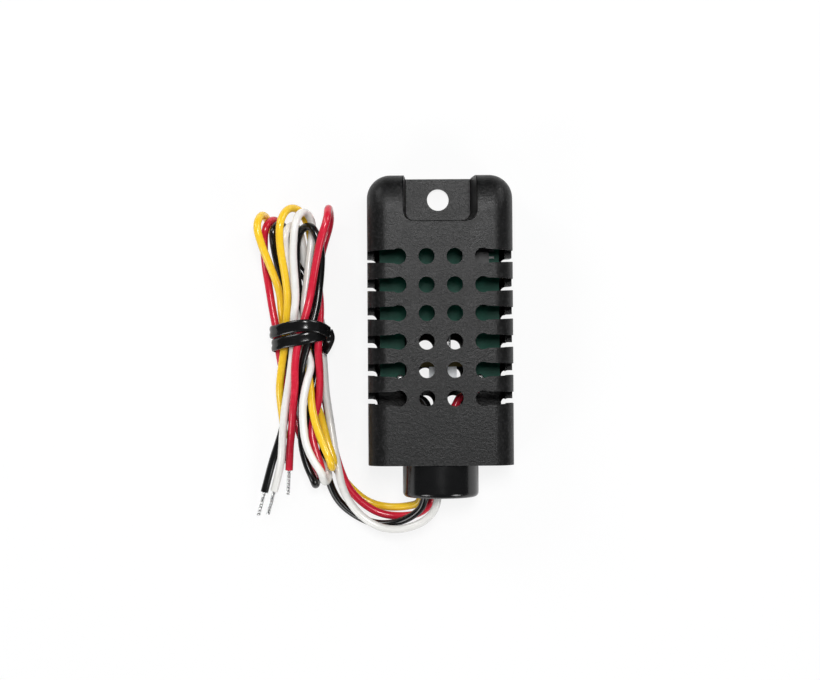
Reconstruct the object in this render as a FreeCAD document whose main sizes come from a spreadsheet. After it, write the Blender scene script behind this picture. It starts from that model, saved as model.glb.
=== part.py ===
"""A temperature and humidity sensor: a vented two-part case with a hanging tab and a cable collar,
the circuit board and sensing element inside it, and four leads folded into a tied hank.

The case lies on its back. +X is across it, +Y runs from the collar to the hanging tab, and +Z is
out of the vented front. The origin is on the back, in the middle of the case and collar.
"""
import FreeCAD, Part
import math
import os

import Sketcher
from FreeCAD import Placement, Rotation, Vector

doc = FreeCAD.newDocument("temperature_humidity_sensor")
sheet = doc.addObject("Spreadsheet::Sheet", "Sizes")

# Driving dimensions in millimetres: alias, value, what it is
SIZES = [
    ("case_length", 53.2, "case without the collar, along Y"),
    ("case_width", 26.7, "case at its widest, along X"),
    ("case_thickness", 14.0, "case from back to front, along Z"),
    ("split_height", 7.0, "where the two covers meet"),
    ("wall", 1.3, "wall of both covers"),
    ("corner_radius", 4.3, "upright corners at the tab end"),
    ("front_round", 3.6, "round along the front's edges"),
    ("slope_length", 6.8, "stretch of the front that falls away to the tab end"),
    ("slope_radius", 12.0, "arc of that slope"),
    ("back_round", 2.2, "round along the back's edges"),
    ("fit_clearance", 0.1, "gap all round between pieces that fit into each other"),
    ("vent_diameter", 2.95, "round vents"),
    ("vent_column_pitch", 5.15, "vents across"),
    ("vent_row_pitch", 5.18, "vents along"),
    ("vent_rows", 6, "rows of vents"),
    ("vent_end_distance", 15.0, "tab end of the case to the first row"),
    ("slot_mouth_height", 2.0, "side slot where it runs off the case"),
    ("slot_neck_height", 2.6, "side slot where it meets its round vent"),
    ("back_vent_shift", 1.25, "rows of the back cover set off towards the collar"),
    ("back_slot_depth", 1.75, "how far the back cover's side slots reach in"),
    ("tab_width", 12.2, "floor of the tab between the recess walls"),
    ("tab_length", 7.9, "floor of the tab recess along the case"),
    ("tab_thickness", 1.5, "plate of the hanging tab"),
    ("tab_draft", 3.0, "lean of the recess walls, degrees"),
    ("tab_corner", 1.6, "corners of the recess"),
    ("hole_diameter", 4.1, "hanging hole"),
    ("hole_distance", 4.0, "hanging hole to the tab's edge"),
    ("collar_length", 6.05, "collar beyond the case"),
    ("collar_diameter", 14.0, "collar outside"),
    ("collar_round", 0.9, "collar's outer edge"),
    ("neck_length", 3.5, "neck of the covers inside the collar"),
    ("collar_wall", 1.1, "collar's wall round the neck"),
    ("collar_lip", 1.5, "collar's end round its open mouth"),
    ("neck_wall", 1.2, "wall of the neck"),
    ("grommet_lip", 0.9, "how far the grommet's flange reaches past the neck's bore"),
    ("grommet_flange_length", 1.2, "flange thickness"),
    ("lead_diameter", 1.45, "insulated lead"),
    ("conductor_diameter", 0.7, "tinned strands of a lead"),
    ("tip_length", 4.6, "stripped end of a lead"),
    ("board_thickness", 1.6, "circuit board"),
    ("board_height", 5.2, "back of the case to the board's underside"),
    ("board_gap", 1.0, "board's edge to the case wall"),
    ("board_length", 28.0, "board from its top edge to the ends of its legs"),
    ("board_end_distance", 10.3, "tab end of the case to the board's top edge"),
    ("notch_width", 13.0, "open middle between the board's legs"),
    ("notch_length", 9.4, "depth of that opening"),
    ("post_diameter", 2.2, "posts that hold the board"),
    ("pin_diameter", 1.2, "locating pins through the board"),
    ("post_upper_x", 9.7, "upper posts from the middle"),
    ("post_upper_distance", 12.0, "tab end of the case to the upper posts"),
    ("post_lower_x", 9.15, "lower posts from the middle"),
    ("post_lower_distance", 33.17, "tab end of the case to the lower posts"),
    ("pin_reach", 1.2, "locating pins above the board"),
    ("sleeve_diameter", 2.6, "front cover's sleeves over the pins"),
    ("collar_mouth_round", 0.35, "edge of the collar's mouth"),
    ("lead_clearance", 0.05, "gap all round a lead in the grommet"),
    ("yellow_exit_x", -3.3, "yellow lead in the grommet"),
    ("yellow_exit_z", 6.2, "yellow lead in the grommet"),
    ("black_exit_x", -2.7, "black lead in the grommet"),
    ("black_exit_z", 8.5, "black lead in the grommet"),
    ("red_exit_x", -1.4, "red lead in the grommet"),
    ("red_exit_z", 6.0, "red lead in the grommet"),
    ("white_exit_x", -0.5, "white lead in the grommet"),
    ("white_exit_z", 8.3, "white lead in the grommet"),
    ("leg_joint_x", 7.4, "solder joints on the board's legs"),
    ("leg_joint_edge", 0.9, "those joints from the ends of the legs"),
    ("middle_joint_x", 0.4, "solder joints above the notch"),
    ("middle_joint_edge", 0.95, "the nearer of them from the notch"),
    ("middle_joint_pitch", 2.3, "the other one from it"),
    ("pad_diameter", 1.5, "solder pad"),
    ("solder_height", 0.8, "solder fillet over a pad"),
    ("solder_wall", 0.18, "top of a solder fillet round the conductor"),
    ("element_width", 5.1, "humidity element across"),
    ("element_length", 4.2, "humidity element along"),
    ("element_thickness", 0.8, "humidity element"),
    ("element_x", 0.55, "humidity element from the middle"),
    ("element_y", -7.7, "middle of the humidity element"),
    ("carrier_width", 9.4, "carrier of the humidity element across"),
    ("carrier_length", 2.2, "that carrier along"),
    ("leg_spread", 1.27, "element's legs from its middle"),
    ("sensor_leg", 0.4, "legs of the sensing parts"),
    ("bead_diameter", 1.8, "temperature bead"),
    ("bead_x", 4.9, "temperature bead from the middle"),
    ("bead_reach", 3.0, "temperature bead from the notch"),
    ("chip_from_side", 3.9, "board's side to the middle of the controller"),
    ("chip_from_top", 5.4, "board's top edge to the middle of the controller"),
    ("chip_width", 3.9, "controller across its pins"),
    ("chip_length", 4.9, "controller along its pins"),
    ("chip_height", 1.4, "controller's body"),
    ("chip_lift", 0.15, "controller over the board"),
    ("chip_pins", 4, "pins on each side of the controller"),
    ("chip_leg", 0.35, "upright part of a pin, away from the body"),
    ("pin_pitch", 1.27, "pins along the controller"),
    ("pin_foot", 0.7, "foot of a pin on the board"),
    ("pin_width", 0.4, "pin across"),
    ("pin_thickness", 0.2, "pin"),
    ("part_length", 2.0, "small two-ended part"),
    ("part_width", 1.25, "its width"),
    ("part_height", 0.5, "its height; capacitors are twice as high"),
    ("hank_x", -25.4, "tie around the hank"),
    ("hank_y", 0.2, "tie around the hank"),
    ("floor_gap", 0.05, "leads over what the sensor lies on"),
    ("free_points", 9, "route points of each lead's free stretch"),
    ("tie_tail", 4.4, "loose end of the twist tie"),
    ("tie_width", 1.75, "twist tie across"),
    ("tie_thickness", 0.5, "twist tie"),
]
for row, (alias, value, note) in enumerate(SIZES, start=1):
    sheet.set(f"A{row}", alias)
    sheet.set(f"B{row}", str(value))
    sheet.setAlias(f"B{row}", alias)
    sheet.set(f"C{row}", note)
doc.recompute()


def size(expression):
    """The value of an expression written in the sheet's aliases."""
    value = sheet.evalExpression(expression)
    return float(getattr(value, "Value", value))


def bound(thing, **expressions):
    """Binds properties of an object to expressions; Placement parts are given as x, y and z."""
    for name, expression in expressions.items():
        if name in ("x", "y", "z"):
            name = f".Placement.Base.{name}"
        thing.setExpression(name, expression)
    return thing


def primitive(kind, name, **expressions):
    return bound(doc.addObject(f"Part::{kind}", name), **expressions)


def box(name, centre_x, low_y, low_z, width, length, height):
    """A block centred on centre_x, from low_y and low_z."""
    return primitive(
        "Box", name, Length=width, Width=length, Height=height,
        x=f"{centre_x} - ({width}) / 2", y=low_y, z=low_z,
    )


def rod(name, x, y, z, diameter, height):
    """An upright cylinder from z."""
    return primitive(
        "Cylinder", name, Radius=f"({diameter}) / 2", Height=height, x=x, y=y, z=z
    )


def rod_along_y(name, x, y, z, diameter, length):
    """A cylinder that runs from y towards -Y."""
    piece = primitive("Cylinder", name, Radius=f"({diameter}) / 2", Height=length)
    piece.Placement = Placement(Vector(), Rotation(Vector(1, 0, 0), 90))
    return bound(piece, x=x, y=y, z=z)


def joined(name, *pieces):
    result = doc.addObject("Part::MultiFuse", name)
    result.Shapes = list(pieces)
    return result


def common(name, *pieces):
    result = doc.addObject("Part::MultiCommon", name)
    result.Shapes = list(pieces)
    return result


def cut(name, base, *tools):
    """The base without the tools."""
    result = doc.addObject("Part::Cut", name)
    result.Base = base
    result.Tool = tools[0] if len(tools) == 1 else joined(f"{name}_tools", *tools)
    return result


def origin_plane(body, role):
    return next(f for f in body.Origin.OriginFeatures if f.Role == role)


def polygon_sketch(body, name, role, corners, height="0"):
    """A closed outline on one of the body's planes, each corner bound to expressions."""
    sketch = body.newObject("Sketcher::SketchObject", name)
    sketch.AttachmentSupport = [(origin_plane(body, role), "")]
    sketch.MapMode = "FlatFace"
    sketch.setExpression(".AttachmentOffset.Base.z", height)
    places = [Vector(size(x), size(y), 0) for x, y in corners]
    for start, end in zip(places, places[1:] + places[:1]):
        sketch.addGeometry(Part.LineSegment(start, end))
    for index, (x, y) in enumerate(corners):
        after = (index + 1) % len(corners)
        sketch.addConstraint(Sketcher.Constraint("Coincident", index, 2, after, 1))
        for kind, expression in (("DistanceX", x), ("DistanceY", y)):
            number = sketch.addConstraint(
                Sketcher.Constraint(kind, -1, 1, index, 1, size(expression))
            )
            sketch.setExpression(f"Constraints[{number}]", expression)
    return sketch


def pad(body, sketch, length, taper="0"):
    feature = body.newObject("PartDesign::Pad", f"{sketch.Name}_pad")
    feature.Profile = sketch
    feature.setExpression("Length", length)
    feature.setExpression("TaperAngle", taper)
    return feature


def edges_where(shape, test):
    return [f"Edge{i}" for i, edge in enumerate(shape.Edges, start=1) if test(edge)]


def rounded(body, base, name, radius, test):
    """A fillet of the base feature's edges that pass the test."""
    doc.recompute()
    feature = body.newObject("PartDesign::Fillet", name)
    feature.Base = (base, edges_where(base.Shape, test))
    feature.setExpression("Radius", radius)
    return feature


NEAR = 1e-4
OVER = 1.0
CASE_TOP = "(Sizes.case_length + Sizes.collar_length) / 2"
CASE_BOTTOM = "(Sizes.collar_length - Sizes.case_length) / 2"


def end_slope(body, name, inset):
    """Cuts the front down towards the tab end along an arc that starts level with the front."""
    sketch = body.newObject("Sketcher::SketchObject", f"{name}_slope")
    sketch.AttachmentSupport = [(origin_plane(body, "YZ_Plane"), "")]
    sketch.MapMode = "FlatFace"
    start = f"{CASE_TOP} - Sizes.slope_length"
    front = f"Sizes.case_thickness - {inset}"
    radius = f"(Sizes.slope_radius - {inset})"
    beyond = f"{CASE_TOP} + {OVER}"
    y0, z0, y1, r = size(start), size(front), size(beyond), size(radius)
    z1 = z0 - r + math.sqrt(r * r - (y1 - y0) ** 2)
    arc = Part.Arc(Vector(y0, z0, 0), Vector((y0 + y1) / 2, z0 - r + math.sqrt(
        r * r - ((y1 - y0) / 2) ** 2), 0), Vector(y1, z1, 0))
    sketch.addGeometry(arc)
    sketch.addGeometry(Part.LineSegment(Vector(y1, z1, 0), Vector(y1, z0 + OVER, 0)))
    sketch.addGeometry(Part.LineSegment(Vector(y1, z0 + OVER, 0), Vector(y0, z0 + OVER, 0)))
    sketch.addGeometry(Part.LineSegment(Vector(y0, z0 + OVER, 0), Vector(y0, z0, 0)))
    for first, end, second, start_point in ((1, 2, 2, 1), (2, 2, 3, 1)):
        sketch.addConstraint(Sketcher.Constraint("Coincident", first, end, second, start_point))
    # The arc runs the other way round than its three points, so its second end is its start
    sketch.addConstraint(Sketcher.Constraint("Coincident", 3, 2, 0, 2))
    sketch.addConstraint(Sketcher.Constraint("Coincident", 0, 1, 1, 1))
    sketch.addConstraint(Sketcher.Constraint("Vertical", 1))
    sketch.addConstraint(Sketcher.Constraint("Horizontal", 2))
    sketch.addConstraint(Sketcher.Constraint("Vertical", 3))
    places = (
        ("DistanceX", 3, 2, start), ("DistanceY", 3, 2, front), ("DistanceX", 1, 2, beyond),
        ("DistanceY", 2, 1, f"{front} + {OVER}"), ("DistanceX", 0, 3, start),
    )
    for kind, geometry, point, expression in places:
        number = sketch.addConstraint(
            Sketcher.Constraint(kind, -1, 1, geometry, point, size(expression))
        )
        sketch.setExpression(f"Constraints[{number}]", expression)
    number = sketch.addConstraint(Sketcher.Constraint("Radius", 0, r))
    sketch.setExpression(f"Constraints[{number}]", radius)
    pocket = body.newObject("PartDesign::Pocket", f"{name}_slope_cut")
    pocket.Profile = sketch
    pocket.Midplane = True
    pocket.setExpression("Length", "Sizes.case_width * 2")
    return pocket


def case_form(name, inset):
    """The case's rounded block, or its hollow when it is set in by a wall."""
    body = doc.addObject("PartDesign::Body", name)
    half = f"(Sizes.case_width / 2 - {inset})"
    low, high = f"({CASE_BOTTOM} + {inset})", f"({CASE_TOP} - {inset})"
    outline = [(f"-{half}", low), (half, low), (half, high), (f"-{half}", high)]
    sketch = polygon_sketch(body, f"{name}_outline", "XY_Plane", outline, inset)
    block = pad(body, sketch, f"Sizes.case_thickness - 2 * {inset}")
    side, bottom, top = size(half), size(low), size(high)
    back, front = size(inset), size(f"Sizes.case_thickness - {inset}")

    def spans(edge, axis):
        ends = [getattr(v.Point, axis) for v in edge.Vertexes]
        return max(ends) - min(ends) > NEAR

    def level(edge, height):
        return all(abs(v.Z - height) < NEAR for v in edge.Vertexes)

    corners = rounded(body, block, f"{name}_corners", f"Sizes.corner_radius - {inset}",
                      lambda e: spans(e, "z") and e.CenterOfMass.y > top - NEAR)
    end_slope(body, name, inset)
    doc.recompute()
    slope = body.Tip
    front_edges = rounded(
        body, slope, f"{name}_front", f"Sizes.front_round - {inset}",
        lambda e: level(e, front) and spans(e, "y") and abs(e.CenterOfMass.x) > side - NEAR)
    back_edges = rounded(
        body, front_edges, f"{name}_back", f"Sizes.back_round - {inset}",
        lambda e: level(e, back) and spans(e, "y") and abs(e.CenterOfMass.x) > side - NEAR)
    doc.recompute()
    return body


def recess_form(name, grow, floor):
    """The hanging tab's recess, open at the tab end and in front, grown sideways by a wall."""
    body = doc.addObject("PartDesign::Body", name)
    half = f"(Sizes.tab_width / 2 + {grow})"
    low = f"({CASE_TOP} - Sizes.tab_length - {grow})"
    high = f"({CASE_TOP} + 2 * Sizes.wall)"
    outline = [(f"-{half}", low), (half, low), (half, high), (f"-{half}", high)]
    sketch = polygon_sketch(body, f"{name}_outline", "XY_Plane", outline, floor)
    block = pad(body, sketch, "Sizes.case_thickness", "Sizes.tab_draft")
    bottom = size(low)

    def leans_at_the_bottom(edge):
        ends = [v.Point for v in edge.Vertexes]
        return abs(ends[0].z - ends[-1].z) > NEAR and edge.CenterOfMass.y < bottom + OVER

    rounded(body, block, f"{name}_corners", f"Sizes.tab_corner + {grow}", leans_at_the_bottom)
    return body


def slot(name, side, y, low_z, height):
    """A side slot that narrows from its round vent to the side of the case; side is 1 or -1."""
    piece = primitive(
        "Wedge", name,
        Xmin="-Sizes.slot_neck_height / 2", Xmax="Sizes.slot_neck_height / 2",
        X2min="-Sizes.slot_mouth_height / 2", X2max="Sizes.slot_mouth_height / 2",
        Ymin="0", Ymax=f"Sizes.case_width / 2 - {OUTER_COLUMN} + Sizes.wall",
        Zmin="0", Z2min="0", Zmax=height, Z2max=height,
    )
    piece.Placement = Placement(Vector(), Rotation(Vector(0, 0, 1), -90 * side))
    return bound(piece, x=f"{side} * {OUTER_COLUMN}", y=y, z=low_z)


def row_y(row, shift="0"):
    return f"({CASE_TOP} - Sizes.vent_end_distance - {row} * Sizes.vent_row_pitch - {shift})"


def front_vents():
    tools = []
    depth = "Sizes.case_thickness - Sizes.split_height + Sizes.wall"
    low = "Sizes.split_height - Sizes.wall / 2"
    for row in range(round(size("Sizes.vent_rows"))):
        for side in SIDES:
            for place, column in (("inner", INNER_COLUMN), ("outer", OUTER_COLUMN)):
                tools.append(rod(f"front_{place}_vent_{row}_{side + 1}", f"{side} * {column}",
                                 row_y(row), low, "Sizes.vent_diameter", depth))
            tools.append(slot(f"front_slot_{row}_{side + 1}", side, row_y(row), low, depth))
    return tools


def back_vents():
    tools = []
    low, height = "-Sizes.wall", "Sizes.split_height + 2 * Sizes.wall"
    inner = "(Sizes.case_width / 2 - Sizes.back_slot_depth + Sizes.slot_mouth_height / 2)"
    length = f"(Sizes.case_width / 2 - {inner} + Sizes.wall)"
    for row in range(round(size("Sizes.vent_rows"))):
        y = row_y(row, "Sizes.back_vent_shift")
        for side in SIDES:
            label = f"{row}_{side + 1}"
            tools.append(rod(f"back_vent_{label}", f"{side} * {INNER_COLUMN}", y, low,
                             "Sizes.vent_diameter", height))
            tools.append(rod(f"back_slot_end_{label}", f"{side} * {inner}", y, low,
                             "Sizes.slot_mouth_height", height))
            tools.append(box(f"back_slot_{label}", f"{side} * ({inner} + {length} / 2)",
                             f"{y} - Sizes.slot_mouth_height / 2", low, length,
                             "Sizes.slot_mouth_height", height))
    return tools


def half_space(name, low_z, height):
    """A block wider and longer than the case, over part of its thickness."""
    return box(name, "0", "-Sizes.case_length", low_z, "Sizes.case_width * 2",
               "Sizes.case_length * 2", height)


INNER_COLUMN = "Sizes.vent_column_pitch / 2"
OUTER_COLUMN = "(Sizes.vent_column_pitch * 3 / 2)"
SIDES = (-1, 1)
NECK_END = f"({CASE_BOTTOM} - Sizes.neck_length)"
NECK_DIAMETER = "(Sizes.collar_diameter - 2 * Sizes.collar_wall)"
NECK_BORE = f"({NECK_DIAMETER} - 2 * Sizes.neck_wall)"
BOARD_TOP = "(Sizes.board_height + Sizes.board_thickness)"
BOARD_HIGH_Y = f"({CASE_TOP} - Sizes.board_end_distance)"
BOARD_LOW_Y = f"({BOARD_HIGH_Y} - Sizes.board_length)"
NOTCH_Y = f"({BOARD_LOW_Y} + Sizes.notch_length)"
BOARD_HALF = "(Sizes.case_width / 2 - Sizes.wall - Sizes.board_gap)"
CHIP_X = f"({BOARD_HALF} - Sizes.chip_from_side)"
PIN_TOP = f"({BOARD_TOP} + Sizes.pin_reach)"
PIN_ROOM = "(Sizes.pin_diameter + 2 * Sizes.fit_clearance)"
POSTS = [
    (f"{side} * Sizes.post_{level}_x", f"({CASE_TOP} - Sizes.post_{level}_distance)")
    for level in ("upper", "lower") for side in SIDES
]

case_block = case_form("case_block", "0")
hollow = case_form("case_hollow", "Sizes.wall")
upper = half_space("upper_half", "Sizes.split_height", "Sizes.case_thickness")
lower = half_space("lower_half", "-Sizes.case_thickness",
                   "Sizes.case_thickness + Sizes.split_height")


def neck(name, half):
    """The cover's half of the round neck that the collar grips, rooted in the end wall."""
    tube = rod_along_y(f"{name}_outside", "0", f"{CASE_BOTTOM} + Sizes.wall / 2",
                       "Sizes.split_height", NECK_DIAMETER,
                       "Sizes.neck_length + Sizes.wall / 2")
    return common(name, tube, half)


def neck_bore(name):
    return rod_along_y(name, "0", f"{CASE_BOTTOM} + 2 * Sizes.wall", "Sizes.split_height",
                       NECK_BORE, "Sizes.neck_length + 3 * Sizes.wall")


def front_cover():
    """Vented front with the recess walls, which stand on the back cover's tab."""
    recess_wall = recess_form("recess_wall", "Sizes.wall",
                              "(Sizes.tab_thickness + Sizes.fit_clearance)")
    recess = recess_form("recess", "0", "Sizes.tab_thickness")
    outside = joined("front_outside", common("front_block", case_block, upper),
                     common("tab_walls", case_block, recess_wall), neck("front_neck", upper))
    room = cut("front_room", hollow, recess_wall)
    shell = cut("front_shell", outside, room, recess, neck_bore("front_bore"), *front_vents())
    sleeves, bores = [], []
    for number, (x, y) in enumerate(POSTS):
        low = f"({BOARD_TOP} + Sizes.fit_clearance)"
        sleeves.append(rod(f"sleeve_{number}", x, y, low, "Sizes.sleeve_diameter",
                           f"Sizes.case_thickness - Sizes.wall / 2 - {low}"))
        bores.append(rod(f"sleeve_bore_{number}", x, y, BOARD_TOP, PIN_ROOM,
                         "Sizes.pin_reach + 2 * Sizes.fit_clearance"))
    return cut("front_cover", joined("front_with_sleeves", shell, *sleeves), *bores)


def back_cover():
    """Back with the hanging tab, and posts whose pins locate the board."""
    grown = "(Sizes.wall + Sizes.fit_clearance)"
    room = recess_form("recess_room", grown, "Sizes.tab_thickness")
    plate = common("tab_plate", case_block, recess_form("tab_outline", grown, "0"),
                   half_space("tab_layer", "0", "Sizes.tab_thickness"))
    outside = joined("back_outside", common("back_block", case_block, lower),
                     neck("back_neck", lower))
    shell = cut("back_shell", outside, hollow, room, neck_bore("back_bore"), *back_vents())
    posts = []
    for number, (x, y) in enumerate(POSTS):
        posts.append(rod(f"post_{number}", x, y, "Sizes.wall / 2", "Sizes.post_diameter",
                         "Sizes.board_height - Sizes.wall / 2"))
        posts.append(rod(f"pin_{number}", x, y, "Sizes.wall", "Sizes.pin_diameter",
                         f"{PIN_TOP} - Sizes.wall"))
    hole = rod("hanging_hole", "0", f"{CASE_TOP} - Sizes.hole_distance", "-Sizes.wall",
               "Sizes.hole_diameter", "Sizes.tab_thickness + 2 * Sizes.wall")
    return cut("back_cover", joined("back_with_posts", shell, plate, *posts), hole)


def turned(name, corners):
    """A body turned about the collar's axis from (radius, y) corners."""
    body = doc.addObject("PartDesign::Body", name)
    sketch = polygon_sketch(body, f"{name}_profile", "XY_Plane", corners)
    feature = body.newObject("PartDesign::Revolution", f"{name}_turned")
    feature.Profile = sketch
    feature.ReferenceAxis = (sketch, ["V_Axis"])
    feature.Angle = 360
    body.setExpression(".Placement.Base.z", "Sizes.split_height")
    doc.recompute()
    return body, feature


def cable_collar():
    """Glossy ring pressed over the neck, which holds the two covers together."""
    outer = "(Sizes.collar_diameter / 2)"
    socket = f"({NECK_DIAMETER} / 2 + Sizes.fit_clearance)"
    mouth = f"({outer} - Sizes.collar_lip)"
    shoulder = f"({NECK_END} - Sizes.fit_clearance)"
    end = f"({CASE_BOTTOM} - Sizes.collar_length)"
    start = f"({CASE_BOTTOM} - Sizes.fit_clearance)"
    body, base = turned("cable_collar", [
        (mouth, end), (outer, end), (outer, start), (socket, start), (socket, shoulder),
        (mouth, shoulder),
    ])
    rim, inner_rim = size(outer), size(mouth)
    low = size(end)

    def ring_at(edge, radius):
        return (abs(edge.CenterOfMass.y - low) < NEAR
                and abs(edge.BoundBox.XMax - radius) < 0.01 and edge.isClosed())

    soft = rounded(body, base, "collar_edge", "Sizes.collar_round", lambda e: ring_at(e, rim))
    rounded(body, soft, "collar_mouth_edge", "Sizes.collar_mouth_round",
            lambda e: ring_at(e, inner_rim))
    return body


def cable_grommet():
    """Rubber plug in the neck, with a hole for each lead and a flange behind the end wall."""
    shank = f"({NECK_BORE} / 2 - Sizes.fit_clearance)"
    flange = f"({NECK_BORE} / 2 + Sizes.grommet_lip)"
    seat = f"({CASE_BOTTOM} + Sizes.wall + Sizes.fit_clearance)"
    back = f"({seat} + Sizes.grommet_flange_length)"
    body, _ = turned("grommet_blank", [
        ("0", NECK_END), (shank, NECK_END), (shank, seat), (flange, seat), (flange, back),
        ("0", back),
    ])
    holes = [
        rod_along_y(f"{name}_hole", f"Sizes.{name}_exit_x", f"{back} + Sizes.wall",
                    f"Sizes.{name}_exit_z", "Sizes.lead_diameter + 2 * Sizes.lead_clearance",
                    f"{back} - {NECK_END} + 2 * Sizes.wall")
        for name in LEADS
    ]
    return cut("cable_grommet", body, *holes)


LEADS = ("yellow", "black", "red", "white")


def circuit_board():
    """Upside-down U of a board: its legs stand either side of the sensing element."""
    narrow = "(Sizes.notch_width / 2)"
    body = doc.addObject("PartDesign::Body", "board_blank")
    sketch = polygon_sketch(body, "board_outline", "XY_Plane", [
        (f"-{BOARD_HALF}", BOARD_LOW_Y), (f"-{narrow}", BOARD_LOW_Y), (f"-{narrow}", NOTCH_Y),
        (narrow, NOTCH_Y), (narrow, BOARD_LOW_Y), (BOARD_HALF, BOARD_LOW_Y), (BOARD_HALF, BOARD_HIGH_Y),
        (f"-{BOARD_HALF}", BOARD_HIGH_Y),
    ], "Sizes.board_height")
    pad(body, sketch, "Sizes.board_thickness")
    low, height = "Sizes.board_height - Sizes.wall", "Sizes.board_thickness + 2 * Sizes.wall"
    holes = [rod(f"pin_hole_{number}", x, y, low, PIN_ROOM, height)
             for number, (x, y) in enumerate(POSTS)]
    for name in LEADS:
        x, y = joint_place(name)
        holes.append(rod(f"{name}_joint_hole", x, y, low,
                         "Sizes.conductor_diameter + Sizes.fit_clearance", height))
    return cut("circuit_board", body, *holes)


def joint_place(name):
    """Where a lead's conductor comes up through the board."""
    if name in ("black", "red"):
        side = "-1" if name == "black" else "1"
        return f"{side} * Sizes.leg_joint_x", f"({BOARD_LOW_Y} + Sizes.leg_joint_edge)"
    row = "1" if name == "yellow" else "0"
    return ("Sizes.middle_joint_x",
            f"({NOTCH_Y} + Sizes.middle_joint_edge + {row} * Sizes.middle_joint_pitch)")


def solder_joints():
    cones = []
    for name in LEADS:
        x, y = joint_place(name)
        cones.append(primitive(
            "Cone", f"{name}_fillet", Radius1="Sizes.pad_diameter / 2",
            Radius2="Sizes.conductor_diameter / 2 + Sizes.solder_wall", Height="Sizes.solder_height",
            x=x, y=y, z=BOARD_TOP,
        ))
    tails = [
        rod(f"{name}_fillet_bore", *joint_place(name), "Sizes.board_height",
            "Sizes.conductor_diameter + Sizes.fit_clearance / 2",
            "Sizes.board_thickness + 2 * Sizes.solder_height")
        for name in LEADS
    ]
    return cut("solder_joints", joined("solder_cones", *cones), *tails)


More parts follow.
